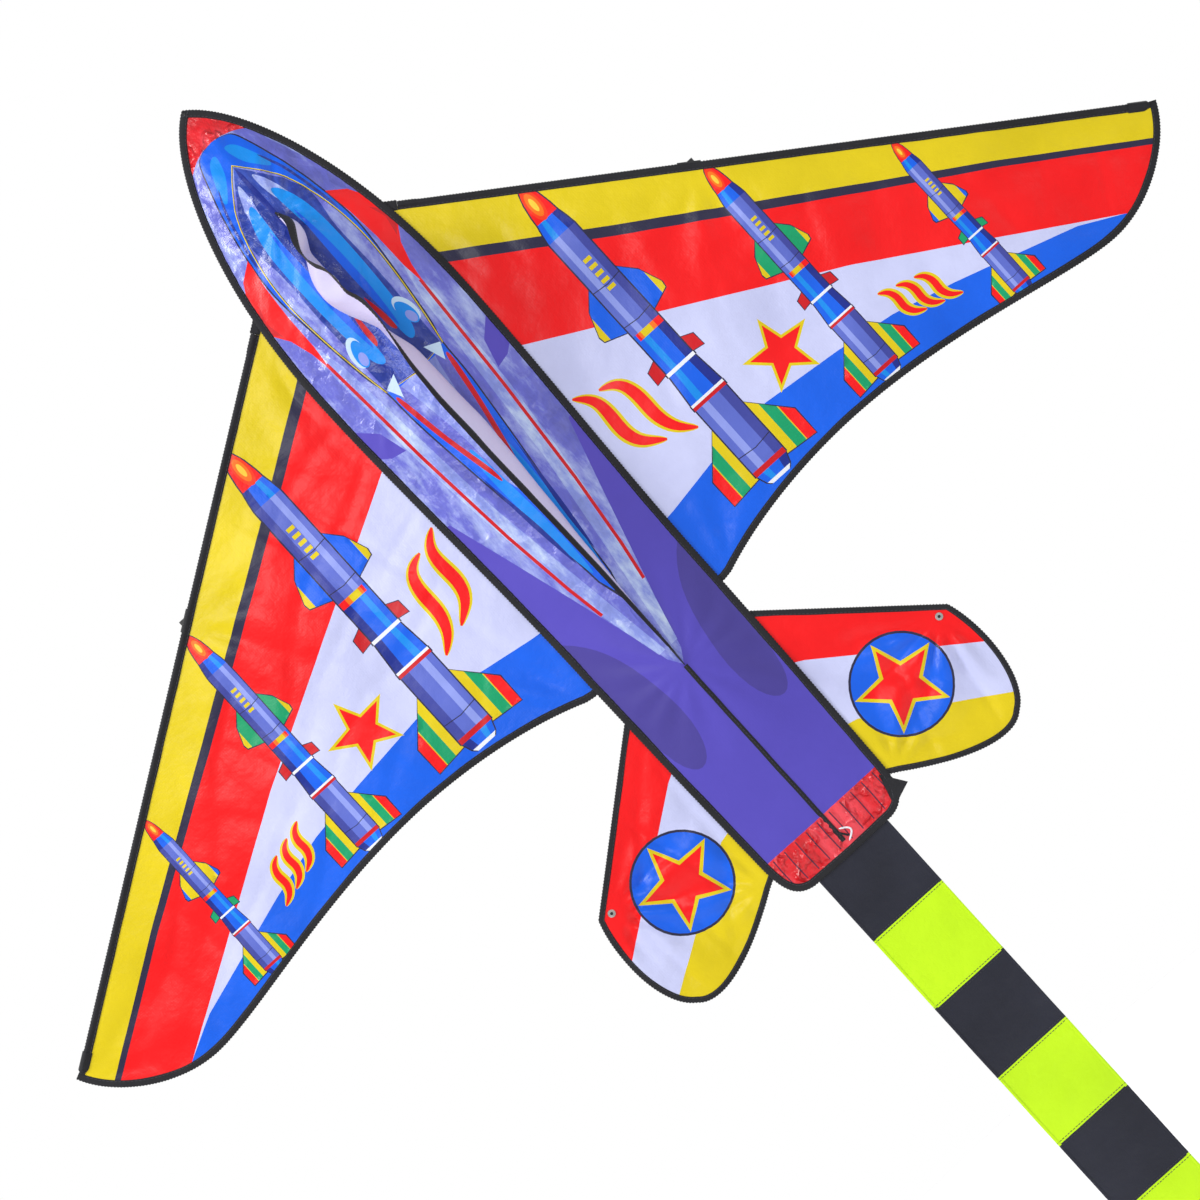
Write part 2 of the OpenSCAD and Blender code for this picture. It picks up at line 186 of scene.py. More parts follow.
def new_material(name, values):
    """An empty material with one principled shader."""
    m = bpy.data.materials.new(name)
    m.use_nodes = True
    nt = m.node_tree
    nt.nodes.clear()
    out = add_node(nt, "OutputMaterial")
    b = add_node(nt, "BsdfPrincipled", values)
    nt.links.new(b.outputs[0], out.inputs[0])
    return m, nt, b


def coords(nt, scale=(1, 1, 1)):
    """The piece's own coordinates, in metres."""
    tc = add_node(nt, "TexCoord")
    mp = add_node(nt, "Mapping", {"Scale": scale})
    nt.links.new(tc.outputs["Object"], mp.inputs["Vector"])
    return mp.outputs[0]


def noise_node(nt, vec, scale, detail=3.0, rough=0.55):
    n = add_node(nt, "TexNoise", {"Scale": scale, "Detail": detail, "Roughness": rough})
    nt.links.new(vec, n.inputs["Vector"])
    return n.outputs["Fac"]


def ramp(nt, fac, stops):
    """Colours at set values of a factor, blended between."""
    r = add_node(nt, "ValToRGB")
    e = r.color_ramp.elements
    while len(e) < len(stops):
        e.new(0.5)
    for el, (pos, col) in zip(e, stops):
        el.position = pos
        el.color = (*col, 1)
    nt.links.new(fac, r.inputs[0])
    return r.outputs[0]


def bump(nt, height, strength, distance, normal=None):
    b = add_node(nt, "Bump", {"Strength": strength, "Distance": distance})
    nt.links.new(height, b.inputs["Height"])
    if normal is not None:
        nt.links.new(normal, b.inputs["Normal"])
    return b.outputs[0]


WAVE_BAND = 0.314  # the width of one band of the wave texture at scale 1


def weave(nt, vec, period, strength):
    """Threads crossing at right angles, as a bump."""
    last = None
    for axis in ("X", "Z"):
        values = {"Scale": WAVE_BAND / period, "Distortion": 0.4}
        w = add_node(nt, "TexWave", values, wave_type="BANDS", bands_direction=axis)
        nt.links.new(vec, w.inputs["Vector"])
        last = bump(nt, w.outputs["Fac"], strength, 0.0002, last)
    return last


def creases(nt, vec, scale):
    """Thin raised lines where crumpled cloth has been folded."""
    off = add_node(nt, "Math", {1: 0.5}, operation="SUBTRACT")
    size = add_node(nt, "Math", operation="ABSOLUTE")
    edge = add_node(nt, "MapRange", {"From Max": 0.07, "To Min": 1.0, "To Max": 0.0})
    nt.links.new(noise_node(nt, vec, scale, 2.0, 0.5), off.inputs[0])
    nt.links.new(off.outputs[0], size.inputs[0])
    nt.links.new(size.outputs[0], edge.inputs["Value"])
    return edge.outputs[0]


def cloth(
    name, rgb, rough=0.36, crinkle=0.35, shade=0.10, period=0.0022, satin=None, sheen=0.03,
    crease=0.0, gloss=0.36, fine=15.0,
):
    """Woven nylon: fine threads, small creases, and colour that varies a little. With satin given,
    the colour has painted sheen and painted shade instead: streaks darker and lighter than the
    cloth.
    """
    m, nt, b = new_material(name, {
        "Roughness": rough, "Specular IOR Level": gloss,
        "Sheen Weight": sheen, "Sheen Roughness": 0.4,
    })
    vec = coords(nt)
    base = linear(rgb)
    # Painted sheen and painted shade: stretched noise streaks run from a darker copy of the cloth's
    # colour to the lighter satin colour, standing in for light on folds.
    if satin is not None:
        sheen_streak_coords = coords(nt, (1.0, 1.0, 0.35))
        f = noise_node(nt, sheen_streak_coords, 26.0, 6.0, 0.68)
        col = ramp(nt, f, [(0.34, [c * 0.72 for c in base]), (0.50, base), (0.66, linear(satin))])
    else:
        f = noise_node(nt, vec, 9.0, 4.0)
        dark = [c * (1 - shade) for c in base]
        light = [min(1, c * (1 + shade) + 0.004) for c in base]
        col = ramp(nt, f, [(0.25, dark), (0.72, light)])
    nt.links.new(col, b.inputs["Base Color"])
    relief = weave(nt, vec, period, 0.10)
    relief = bump(nt, noise_node(nt, vec, 34.0, 5.0, 0.6), crinkle, 0.004, relief)
    if crease:
        relief = bump(nt, creases(nt, vec, fine), crease, 0.003, relief)
    nt.links.new(relief, b.inputs["Normal"])
    return m


# How each cloth differs from the plain one.
FINISH = {
    # satin gives the light colour of the painted sheen streaks; the same streaks darken the cloth
    # as painted shade.
    "satin": dict(rough=0.3, crinkle=0.8, satin=(176, 190, 240), crease=0.5, gloss=0.6),
    "satin_light": dict(rough=0.28, crinkle=0.9, satin=(206, 224, 250), crease=0.5, gloss=0.6),
    "canopy": dict(rough=0.3, crinkle=0.8, satin=(64, 96, 206), crease=0.6, gloss=0.6),
    "gathered": dict(
        rough=0.32, crinkle=1.3, satin=(244, 70, 84), crease=0.9, gloss=0.6, fine=38.0
    ),
    "indigo": dict(rough=0.5, crinkle=0.2, shade=0.05),
    "tongue": dict(rough=0.5, crinkle=0.2, shade=0.05),
    "keel": dict(rough=0.5, crinkle=0.3, shade=0.06),
    "tape": dict(rough=0.72, crinkle=0.5, shade=0.3, period=0.0014, sheen=0.1),
    "ribbon": dict(rough=0.42, crinkle=0.55, shade=0.25),
    "lime": dict(rough=0.45, crinkle=0.5, shade=0.08),
    "band": dict(rough=0.8, crinkle=0.6, shade=0.15, period=0.0012),
    "thread": dict(rough=0.6, crinkle=0.1, shade=0.1, period=0.0006),
}
mats = {key: cloth("cloth_" + key, rgb, **FINISH.get(key, {})) for key, rgb in COLOURS.items()}


def plastic():
    m, nt, b = new_material("moulded_black_plastic", {})
    vec = coords(nt)
    tint = ramp(
        nt, noise_node(nt, vec, 60.0, 4.0),
        [(0.3, (0.010, 0.010, 0.011)), (0.7, (0.030, 0.030, 0.033))],
    )
    polish = ramp(nt, noise_node(nt, vec, 30.0, 2.0), [(0.3, (0.34,) * 3), (0.7, (0.5,) * 3)])
    nt.links.new(tint, b.inputs["Base Color"])
    nt.links.new(polish, b.inputs["Roughness"])
    nt.links.new(bump(nt, noise_node(nt, vec, 900.0, 2.0), 0.12, 0.0003), b.inputs["Normal"])
    return m


def rod():
    m, nt, b = new_material("glass_fibre_rod", {"Roughness": 0.32})
    f = noise_node(nt, coords(nt), 120.0, 5.0, 0.6)
    nt.links.new(
        ramp(nt, f, [(0.3, (0.62, 0.62, 0.57)), (0.7, (0.84, 0.84, 0.79))]), b.inputs["Base Color"],
    )
    nt.links.new(bump(nt, f, 0.1, 0.0003), b.inputs["Normal"])
    return m


def metal():
    m, nt, b = new_material("nickel_plate", {"Metallic": 1.0})
    f = noise_node(nt, coords(nt), 300.0, 3.0)
    nt.links.new(
        ramp(nt, f, [(0.3, (0.62, 0.61, 0.58)), (0.7, (0.80, 0.79, 0.76))]), b.inputs["Base Color"],
    )
    nt.links.new(ramp(nt, f, [(0.3, (0.16,) * 3), (0.7, (0.3,) * 3)]), b.inputs["Roughness"])
    return m


mats["plastic"], mats["rod"], mats["metal"] = plastic(), rod(), metal()

# ---- mesh helpers ----


def declare(ob, slot, body, *nodes):
    """Puts a piece on the body that carries it and hides the CAD nodes it stands for. The colour
    slot is not used.

    A piece that bends between two bodies has no one body, and is left unattached.
    """
    if body:
        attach(ob, body)
    if nodes:
        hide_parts(*nodes)


def add_object(name, verts, faces, keys, index=None, soft=True):
    """A mesh object; index says which of the keys colours each face."""
    me = bpy.data.meshes.new(name)
    me.from_pydata([tuple(v) for v in verts], [], [tuple(f) for f in faces])
    for k in keys:
        me.materials.append(mats[k])
    if index is not None:
        me.polygons.foreach_set("material_index", index)
    if soft:
        me.polygons.foreach_set("use_smooth", [True] * len(me.polygons))
    me.validate()
    me.update()
    ob = bpy.data.objects.new(name, me)
    bpy.context.scene.collection.objects.link(ob)
    return ob


def inside(pts, poly):
    """Which points lie in a polygon."""
    poly = np.asarray(poly, float)
    res = np.zeros(len(pts), bool)
    lo, hi = poly.min(0), poly.max(0)
    near = np.where(((pts >= lo) & (pts <= hi)).all(1))[0]
    if not len(near):
        return res
    x, y = pts[near, 0], pts[near, 1]
    r = np.zeros(len(near), bool)
    j = len(poly) - 1
    for i in range(len(poly)):
        xi, yi = poly[i]
        xj, yj = poly[j]
        if yi != yj:
            r ^= ((yi > y) != (yj > y)) & (x < (xj - xi) * (y - yi) / (yj - yi) + xi)
        j = i
    res[near] = r
    return res


def divided(poly, step):
    """A closed outline with extra points, so that no side is longer than a step."""
    out = []
    for (x0, y0), (x1, y1) in zip(poly, list(poly[1:]) + [poly[0]]):
        n = max(1, ceil(hypot(x1 - x0, y1 - y0) / step))
        out += [(x0 + (x1 - x0) * i / n, y0 + (y1 - y0) * i / n) for i in range(n)]
    return out


def printed_cloth(name, outline, layers, spacing, place, holes=(), flip=False, base="pale"):
    """One sheet cut to an outline. Each layer is (colour, polygon), later ones on top."""
    pts, edges = [], []
    for poly in [outline, *holes, *(p for _, p in layers)]:
        n0 = len(pts)
        poly = divided(poly, spacing)
        pts.extend(Vector((float(a), float(b))) for a, b in poly)
        n = len(poly)
        edges.extend((n0 + i, n0 + (i + 1) % n) for i in range(n))
    o = np.asarray(outline, float)
    lo, hi = o.min(0), o.max(0)
    gx, gy = np.meshgrid(np.arange(lo[0], hi[0], spacing), np.arange(lo[1], hi[1], spacing * 0.866))
    gx = gx + (np.arange(gx.shape[0]) % 2)[:, None] * spacing / 2
    grid = np.stack([gx.ravel(), gy.ravel()], 1)
    grid = grid[inside(grid, outline)]
    near = KDTree(len(pts))
    for i, q in enumerate(pts):
        near.insert((q.x, q.y, 0), i)
    near.balance()
    grid = [q for q in grid if near.find((q[0], q[1], 0))[2] > spacing * 0.48]
    pts.extend(Vector((float(a), float(b))) for a, b in grid)
    verts, _, faces, _, _, _ = delaunay_2d_cdt(pts, edges, [], 0, 1e-4)
    v = np.array([(p.x, p.y) for p in verts])
    f = np.array([t for t in faces if len(t) == 3])
    c = v[f].mean(1)
    keep = inside(c, outline)
    for h in holes:
        keep &= ~inside(c, h)
    a = v[f]
    area = np.abs(
        (a[:, 1, 0] - a[:, 0, 0]) * (a[:, 2, 1] - a[:, 0, 1])
        - (a[:, 2, 0] - a[:, 0, 0]) * (a[:, 1, 1] - a[:, 0, 1])
    )
    keep &= area > 1e-5
    f, c = f[keep], c[keep]
    keys = [base] + sorted({k for k, _ in layers if k != base})
    index = np.zeros(len(f), int)
    for k, poly in layers:
        index[inside(c, poly)] = keys.index(k)
    used = np.unique(f)
    remap = -np.ones(len(v), int)
    remap[used] = np.arange(len(used))
    f = remap[f]
    if not flip:
        f = f[:, ::-1]
    return add_object(name, [place(*v[i]) for i in used], f.tolist(), keys, index.tolist())


def sweep(rings, closed=False):
    """The corners and faces of a skin over rings of points, each ring an open strip."""
    n = len(rings[0])
    verts = [p for r in rings for p in r]
    faces = []
    m = len(rings)
    for j in range(m if closed else m - 1):
        k = (j + 1) % m
        for i in range(n - 1):
            faces.append((j * n + i, j * n + i + 1, k * n + i + 1, k * n + i))
    return verts, faces


def resample(pts, step):
    """Even points along a path of (x, d) points, its direction there, and the way along it."""
    p = np.asarray(pts, float)
    seg = np.linalg.norm(np.diff(p, axis=0), axis=1)
    keep = np.concatenate([[True], seg > 1e-6])
    p = p[keep]
    s = np.concatenate([[0], np.cumsum(np.linalg.norm(np.diff(p, axis=0), axis=1))])
    n = max(2, int(s[-1] / step))
    t = np.linspace(0, s[-1], n + 1)
    q = np.stack([np.interp(t, s, p[:, 0]), np.interp(t, s, p[:, 1])], 1)
    reach = 4.0
    before, after = t - reach, t + reach
    a = np.stack([np.interp(before, s, p[:, 0]), np.interp(before, s, p[:, 1])], 1)
    b = np.stack([np.interp(after, s, p[:, 0]), np.interp(after, s, p[:, 1])], 1)
    g = b - a
    g /= np.maximum(np.linalg.norm(g, axis=1), 1e-9)[:, None]
    return q, g, t


EDGE_STEP = 1.07  # between two points along a taped edge
LOOP_PITCH = 3.2  # between two loops of the thread that binds an edge


def edge_tape(name, path, width, inward, y_mid, half, mirror=1, closed=False, place=None):
    """Tape folded over an edge, with a row of thread loops that make its outer edge uneven."""
    q, g, t = resample(path, EDGE_STEP)
    if closed:
        q, g, t = q[:-1], g[:-1], t[:-1]
    rings = []
    for (x, d), (gx, gd), s in zip(q, g, t):
        nx, nd = (-gd * inward, gx * inward)
        tooth = 0.45 * sin(2 * pi * s / LOOP_PITCH)
        puck = 0.25 * wander(s * 0.12, width, 3.1) + 0.12 * wander(s * 0.5, 7.0, 1.0)
        w = width + 0.5 * wander(s * 0.03, 1.7, y_mid * 50)
        ring = []
        for off, yy in (
            (w, -half * 0.55), (w - 0.4, -half - 0.15), (w * 0.55, -half - 0.25 + puck),
            (0.9, -half - 0.1 + puck * 0.5), (-0.5 - tooth * 0.5, -half * 0.6),
            (-0.95 - tooth, 0.0), (-0.5 - tooth * 0.5, half * 0.6), (0.9, half + 0.1),
            (w * 0.55, half + 0.25 + puck), (w - 0.4, half + 0.15), (w, half * 0.55),
        ):
            px, pd = x + nx * off, d + nd * off
            if place is None:
                ring.append((px * mirror / 1000, y_mid + yy / 1000, up(pd)))
            else:
                ring.append(place(px, pd, yy))
        rings.append(ring)
    verts, faces = sweep(rings, closed)
    return add_object(name, verts, faces, ["tape"])


def stitches(
    name, path, offset, inward, y, mirror=1, step=4.2, length=2.8, place=None, key="thread",
):
    """A row of stitches beside an edge, each a small raised bar of thread."""
    q, g, _ = resample(path, step)
    verts, faces = [], []
    for (x, d), (gx, gd) in zip(q, g):
        nx, nd = (-gd * inward, gx * inward)
        cx, cd = x + nx * offset, d + nd * offset
        base = len(verts)
        for along in (-0.5, 0.5):
            for across, rise in ((-0.32, 0.0), (-0.2, -0.32), (0.2, -0.32), (0.32, 0.0)):
                px = cx + gx * along * length + nx * across
                pd = cd + gd * along * length + nd * across
                if place is None:
                    verts.append((px * mirror / 1000, y + rise / 1000, up(pd)))
                else:
                    verts.append(place(px, pd, rise))
        for i in range(3):
            faces.append((base + i, base + i + 1, base + 5 + i, base + 4 + i))
        faces.append((base, base + 3, base + 2, base + 1))
        faces.append((base + 4, base + 5, base + 6, base + 7))
        faces.append((base, base + 4, base + 7, base + 3))
    return add_object(name, verts, faces, [key], soft=False)


def polar(r, degrees):
    """A point at a distance and an angle from the middle."""
    return (r * cos(radians(degrees)), r * sin(radians(degrees)))


def fade(v, a, b):
    """From 0 at a to 1 at b, slow at both ends."""
    t = min(1.0, max(0.0, (v - a) / (b - a)))
    return t * t * (3 - 2 * t)


def ray_folds(x, d, cx, cd, reach, count, size, phase=0.0):
    """Creases that spread from a point where the cloth is pulled."""
    dx, dd = x - cx, d - cd
    r = hypot(dx, dd)
    if r > reach * 1.5 or r < 1e-6:
        return 0.0
    a = atan2(dd, dx)
    swing = sin(count * a + phase + 1.3 * wander(a * 2.0, phase, r * 0.01))
    return size * swing * fade(r, 0, reach * 0.3) * (1 - fade(r, reach * 0.35, reach * 1.3))


def long_crease(x, d, angle, seed):
    """Long soft ridges in one direction, from 0 to 1."""
    c, s = cos(angle), sin(angle)
    along, across = x * c + d * s, d * c - x * s
    return 1 - fade(abs(wander(along * 0.005 + seed, across * 0.017, seed * 2)), 0, 0.2)


# ---- print shapes ----


def disc(cx, cd, rx, rd=None, n=40, turn=0.0):
    """A circle or an ellipse."""
    rd = rx if rd is None else rd
    c, s = cos(turn), sin(turn)
    out = []
    for i in range(n):
        a = 2 * pi * i / n
        u, v = rx * cos(a), rd * sin(a)
        out.append((cx + u * c - v * s, cd + u * s + v * c))
    return out


def star(cx, cd, r, turn=0.0, inner=0.42):
    """A star with five points."""
    out = []
    for i in range(10):
        a = -pi / 2 + turn + pi * i / 5
        q = r if i % 2 == 0 else r * inner
        out.append((cx + q * cos(a), cd + q * sin(a)))
    return out


def strand(points, width, n=26):
    """A flowing stroke that tapers at both ends."""
    p = np.asarray(points, float)
    s = np.concatenate([[0], np.cumsum(np.linalg.norm(np.diff(p, axis=0), axis=1))])
    t = np.linspace(0, s[-1], n)
    q = np.stack([np.interp(t, s, p[:, 0]), np.interp(t, s, p[:, 1])], 1)
    for _ in range(6):
        q[1:-1] = (q[:-2] + 2 * q[1:-1] + q[2:]) / 4
    g = np.gradient(q, axis=0)
    g /= np.linalg.norm(g, axis=1)[:, None]
    nrm = np.stack([-g[:, 1], g[:, 0]], 1)
    w = width / 2 * (0.14 + 0.86 * np.sin(np.pi * np.linspace(0, 1, n)) ** 0.7)
    a, b = q + nrm * w[:, None], q - nrm * w[:, None]
    return [tuple(v) for v in a] + [tuple(v) for v in b[::-1]]


def rounded(points, n=6, closed=True):
    """A rounded path through its points."""
    p = [tuple(q) for q in points]
    m = len(p)
    out = []
    for i in range(m if closed else m - 1):
        near = [(i + k) % m if closed else min(max(i + k, 0), m - 1) for k in (-1, 0, 1, 2)]
        a, b, c, d = (p[k] for k in near)
        for j in range(n):
            t = j / n
            out.append(tuple(
                0.5 * (
                    2 * b[k] + (c[k] - a[k]) * t + (2 * a[k] - 5 * b[k] + 4 * c[k] - d[k]) * t * t
                    + (3 * b[k] - a[k] - 3 * c[k] + d[k]) * t ** 3
                )
                for k in (0, 1)
            ))
    return out if closed else out + [p[-1]]


def line(points, w):
    """A thin printed line of even width."""
    p = np.asarray(points, float)
    g = np.gradient(p, axis=0)
    g /= np.linalg.norm(g, axis=1)[:, None]
    nrm = np.stack([-g[:, 1], g[:, 0]], 1) * w / 2
    return [tuple(v) for v in p + nrm] + [tuple(v) for v in (p - nrm)[::-1]]


ROCKET_UNITS = 393.0


def rocket(x0, d0, length, fin, fin_tip, small_fin):
    """A toy rocket, nose up, drawn in its own units and scaled."""
    k = length / ROCKET_UNITS
    out = []

    def add(key, poly, outline=0.0):
        pts = [(x0 + w * k, d0 + s * k) for w, s in poly]
        if outline:
            c = np.mean(np.asarray(pts), axis=0)
            e = np.asarray(pts) - c
            r = np.linalg.norm(e, axis=1)
            wider = c + e * (1 + outline / np.maximum(r, 1e-6))[:, None]
            out.append(("navy", [tuple(v) for v in wider]))
        out.append((key, pts))

    def both(key, poly, outline=0.0):
        add(key, poly, outline)
        add(key, mirrored(poly), outline)

    both(fin_tip, [(12, 119), (33, 144), (42, 168), (41, 175), (12, 186)], 1.4)
    both(fin, [(12, 119), (33, 144), (35, 149.3), (35, 177.3), (12, 186)])
    both(small_fin, [(15, 221), (30, 228), (31, 243), (15, 240)], 1.2)
    both("yellow", [(17, 308), (55, 352), (55, 384), (17, 380)], 1.4)
    both("green", [(31, 324.2), (43, 338.1), (43, 382.7), (31, 381.5)])
    both("red", [(44, 339.3), (55, 352), (55, 384), (44, 382.8)])
    profile = [
        ("red", [(0, 0.5), (8, 5.5), (20, 9.5), (34, 12), (44, 13)]),
        ("royal", [(44, 13), (56, 15.5), (66, 17)]),
        ("steel", [(66, 17), (191, 17)]),
        ("red", [(191, 17), (199, 17)]),
        ("royal", [(199, 17), (241, 17)]),
        ("white", [(241, 18), (245, 18)]),
        ("royal", [(245, 17), (281, 20.5)]),
        ("white", [(281, 21), (284, 21)]),
        ("deepred", [(284, 21), (288, 21)]),
        ("steel", [(288, 20), (372, 20)]),
        ("deepred", [(372, 20), (378, 20)]),
        ("royal", [(378, 19), (389, 15)]),
        ("white", [(389, 15), (393, 11)]),
    ]
    edge = [(w + 1.5, s) for _, prof in profile for s, w in prof]
    add("navy", edge + mirrored(edge))
    for key, prof in profile:
        half = [(w, s) for s, w in prof]
        add(key, half + mirrored(half))
    shades = {"steel": ("steel_light", "steel_dark"), "royal": ("azure", "deepblue")}
    for key, prof in profile:
        if key in shades:
            light, dark = shades[key]
            add(
                light,
                [(-w * 0.62, s) for s, w in prof] + [(-w * 0.22, s) for s, w in reversed(prof)],
            )
            add(dark, [(w * 0.5, s) for s, w in prof] + [(w, s) for s, w in reversed(prof)])
    for key, rx, rd in (("ember", 8.2, 19), ("orange", 5.6, 14), ("flare", 2.8, 8)):
        add(key, disc(-1.6, 26, rx, rd, 22))
    add("orange", [(-11, 191), (9, 191), (9, 199), (-11, 199)])
    add("yellow", [(-8, 191), (4, 191), (4, 199), (-8, 199)])
    add("royal", [(-17, 191), (-14, 191), (-14, 199), (-17, 199)])
    for s in range(100, 145, 9):
        add("yellow", [(-3, s), (6, s), (6, s + 4.5), (-3, s + 4.5)])
    for w, s, sag in ((17, 132, 2), (17, 178, 2), (20, 352, 2.5)):
        add("navy", line([(-w, s), (0, s + sag), (w, s)], 1.0))
    return out


def flame(strands, width=12.6):
    """Red strokes, each with a yellow border."""
    out = [("yellow", strand(s, width + 6.4)) for s in strands]
    return out + [("red", strand(s, width)) for s in strands]


wing_print = [
    ("pale", [
        (80, 100), (80, 627), (97, 625), (157, 615), (236, 607), (324, 617), (389, 627),
        (457, 645), (586, 686), (630, 709), (760, 770), (760, 500),
    ]),
    ("red", [(80, 100), (80, 393), (97, 402), (391, 562), (625, 706), (760, 790), (760, 500)]),
    ("navy", [
        (80, 100), (80, 279), (97.5, 290.8), (255, 393.8), (412, 493), (570, 591.1),
        (728, 696.8), (760, 717), (760, 500),
    ]),
    ("yellow", [
        (80, 100), (80, 265.5), (97.5, 277.1), (255, 381), (412, 482.1), (570, 582.8),
        (728, 689.5), (760, 710), (760, 500),
    ]),
]
wing_print += flame([
    [(95, 475), (107, 484), (113, 494), (113, 512), (111, 534), (117, 552), (139, 568)],
    [(121, 486), (134, 489), (143, 497), (147, 515), (146, 545), (153, 565), (170, 580)],
])
small_stroke = [(392, 602), (401, 607), (405, 617), (403, 630), (408, 640), (419, 646)]
wing_print += flame([[(x + 19 * i, d + 6 * i) for x, d in small_stroke] for i in range(3)], 7.2)
wing_print += [("yellow", star(282, 580, 41, 0.1)), ("red", star(282, 580, 33, 0.1))]
wing_print += rocket(199, 279, 393, "royal", "yellow", "deepred")
wing_print += rocket(350, 389, 284, "green", "yellow", "deepred")
wing_print += rocket(505, 498, 202, "yellow", "royal", "green")

tail_print = [
    ("pale", [(60, 700), (60, 895), (92, 903), (234, 993), (260, 1010), (280, 700)]),
    ("red", [(60, 700), (60, 806), (92, 824), (253, 942), (280, 960), (280, 700)]),
    ("navy", disc(148, 907, 53.5)),
    ("royal", disc(148, 907, 51)),
    ("yellow", star(148, 907, 50, 0.06, 0.46)),
    ("red", star(148, 907, 42, 0.06, 0.44)),
]


def grown(edge, out):
    """A rounded edge, moved out to the side."""
    return rounded([(x + out, d) for x, d in edge], 5, False)


# The outer edge of the blue band round the canopy, and the edge of the canopy's frame.
royal_side = [
    (10, 45.5), (20, 50), (27, 64), (41, 108), (51, 156), (55, 200), (51, 253), (43, 319),
    (37, 347), (34.5, 394), (24, 487), (12, 576), (7, 628),
]
canopy_side = [(10, 88), (31.7, 119), (46.2, 166), (51.5, 212), (49.4, 259), (44, 305), (37.2, 347)]

# The body's print, right half.
body_print_half = [
    ("satin", [
        (0, -5), (120, -5), (120, 478), (80, 486), (60, 552), (43, 610), (24, 676), (9, 731),
        (0, 745),
    ]),
    # Painted sheen: lighter copies of the satin near the nose and along the belly's slopes by the
    # keel.
    ("satin_light", [(60, 70), (84, 150), (84, 170), (62, 120), (44, 74)]),
    ("satin_light", [
        (60, 262), (66, 300), (60, 420), (52, 500), (44, 560), (30, 650), (12, 722), (4, 722),
        (22, 600), (36, 500), (44, 400), (52, 300),
    ]),
    ("indigo", [(100, 330), (92, 350), (70, 372), (62, 402), (78, 398), (100, 380)]),
    ("deepred", line([(63, 285), (59, 350), (55, 418), (45, 534), (35, 614), (28, 655)], 3.4)),
    (
        "tongue",
        curve([(90, 640), (52, 668), (40, 700), (33, 760)], 10)
        + curve([(33, 760), (26, 830), (60, 858), (72, 812)], 12, 1)
        + curve([(72, 812), (78, 780), (84, 740), (90, 700)], 6, 1),
    ),
    ("navy", [(0, 42.4)] + grown(royal_side, 1.6) + [(0, 660)]),
    ("royal", [(0, 44)] + grown(royal_side, 0) + [(0, 650)]),
    ("azure", rounded([(6, 58), (17, 62), (30, 92), (28, 100), (12, 80)])),
    ("canopy", rounded([(26, 84), (38, 108), (49, 156), (50, 176), (38, 118)])),
    # Painted sheen down the middle of the belly, in the lighter satin.
    ("satin_light", [(0, 352), (30, 352), (24, 400), (15, 470), (0, 520)]),
    ("satin", rounded([(22, 356), (30, 362), (22, 430), (12, 500), (10, 440)])),
    ("azure", rounded([(12, 450), (19, 470), (15, 560), (6, 618), (4, 560)])),
    ("deepblue", rounded([(24, 476), (27, 440), (20, 540), (12, 600), (14, 550)])),
    ("yellow", [(0, 75.2)] + grown(canopy_side, 1.0) + [(0, 353.5)]),
    ("navy", [(0, 76.6)] + grown(canopy_side, 0) + [(0, 352.5)]),
    ("satin", [(0, 77.6)] + grown(canopy_side, -0.7) + [(0, 351.5)]),
    (
        "canopy",
        [(0, 78)]
        + grown([(30, 119), (41, 150), (37, 190), (38, 245), (37, 290), (36, 346)], 0)
        + [(0, 351)],
    ),
    # Painted highlight inside the canopy, in the lighter satin.
    ("satin_light", rounded([(9, 96), (20, 116), (27, 150), (25, 176), (17, 150), (9, 118)])),
    (
        "azure",
        rounded(
            [(12, 122), (24, 132), (33, 172), (33, 250), (27, 314), (15, 318), (17, 250), (16, 180)]
        ),
    ),
    ("royal", rounded([(17, 150), (22, 200), (22, 260), (17, 306), (14, 250), (15, 190)])),
    ("canopy", [(0, 84)] + grown([(7, 110), (12, 180), (11, 260), (7, 344)], 0) + [(0, 347)]),
    # Painted shade: a dark line down the fold at the belly's ridge, from the canopy's apex to the
    # keel.
    ("deepblue", [(0, 79), (2.2, 90), (3.0, 120), (2.4, 150), (0, 158)]),
    ("deepred", rounded([(9, 262), (14, 286), (14, 306), (9, 298)])),
    ("glint", disc(33, 298, 8.4, 17, 30, -0.2)),
    ("azure", disc(31.2, 301, 6.8, 15, 30, -0.2)),
    ("steel_light", disc(32.2, 307, 4.4, 7.4, 24, -0.2)),
    ("glint", [(20, 338), (36, 345), (28, 362)]),
    ("red", [
        (52, 156), (70, 168), (88, 198), (102, 224), (84, 228), (74, 244), (67, 268),
        (63.5, 292), (60.5, 264), (60, 224), (57, 188),
    ]),
    ("deepred", [(74, 196), (90, 214), (96, 224), (84, 226), (76, 236), (80, 214)]),
    ("deepred", rounded([(31, 362), (35, 366), (27, 420), (13, 486), (11, 474), (22, 420)])),
    (
        "gathered",
        [(0, -10), (70, -10), (70, 84)]
        + grown([(48, 66), (36, 55), (25, 49), (12, 45)], 0)
        + [(0, 44)],
    ),
    ("gathered", [(0, 950), (110, 950), (110, 1010), (0, 1010)]),
]
PLEAT = 14.6  # between two pleats of the gathered end
# Painted shade: a dark line in each pleat of the gathered end.
for i in range(6):
    pleat_shade = [(8 + PLEAT * i, 952), (8.4 + PLEAT * i, 966), (8 + PLEAT * i, 988)]
    body_print_half.append(("navy", line(pleat_shade, 1.1)))


def doubled(layers):
    """The same layers on both sides."""
    return [(key, side) for key, poly in layers for side in (poly, mirrored(poly))]


# ---- camera, light and stage ----

LENS = 85.0
SENSOR = 36.0
FRAME_WIDTH = 1.2  # metres across the picture at the kite's plane
LOOK_AT_D = 642.0  # the picture's centre, below the nose

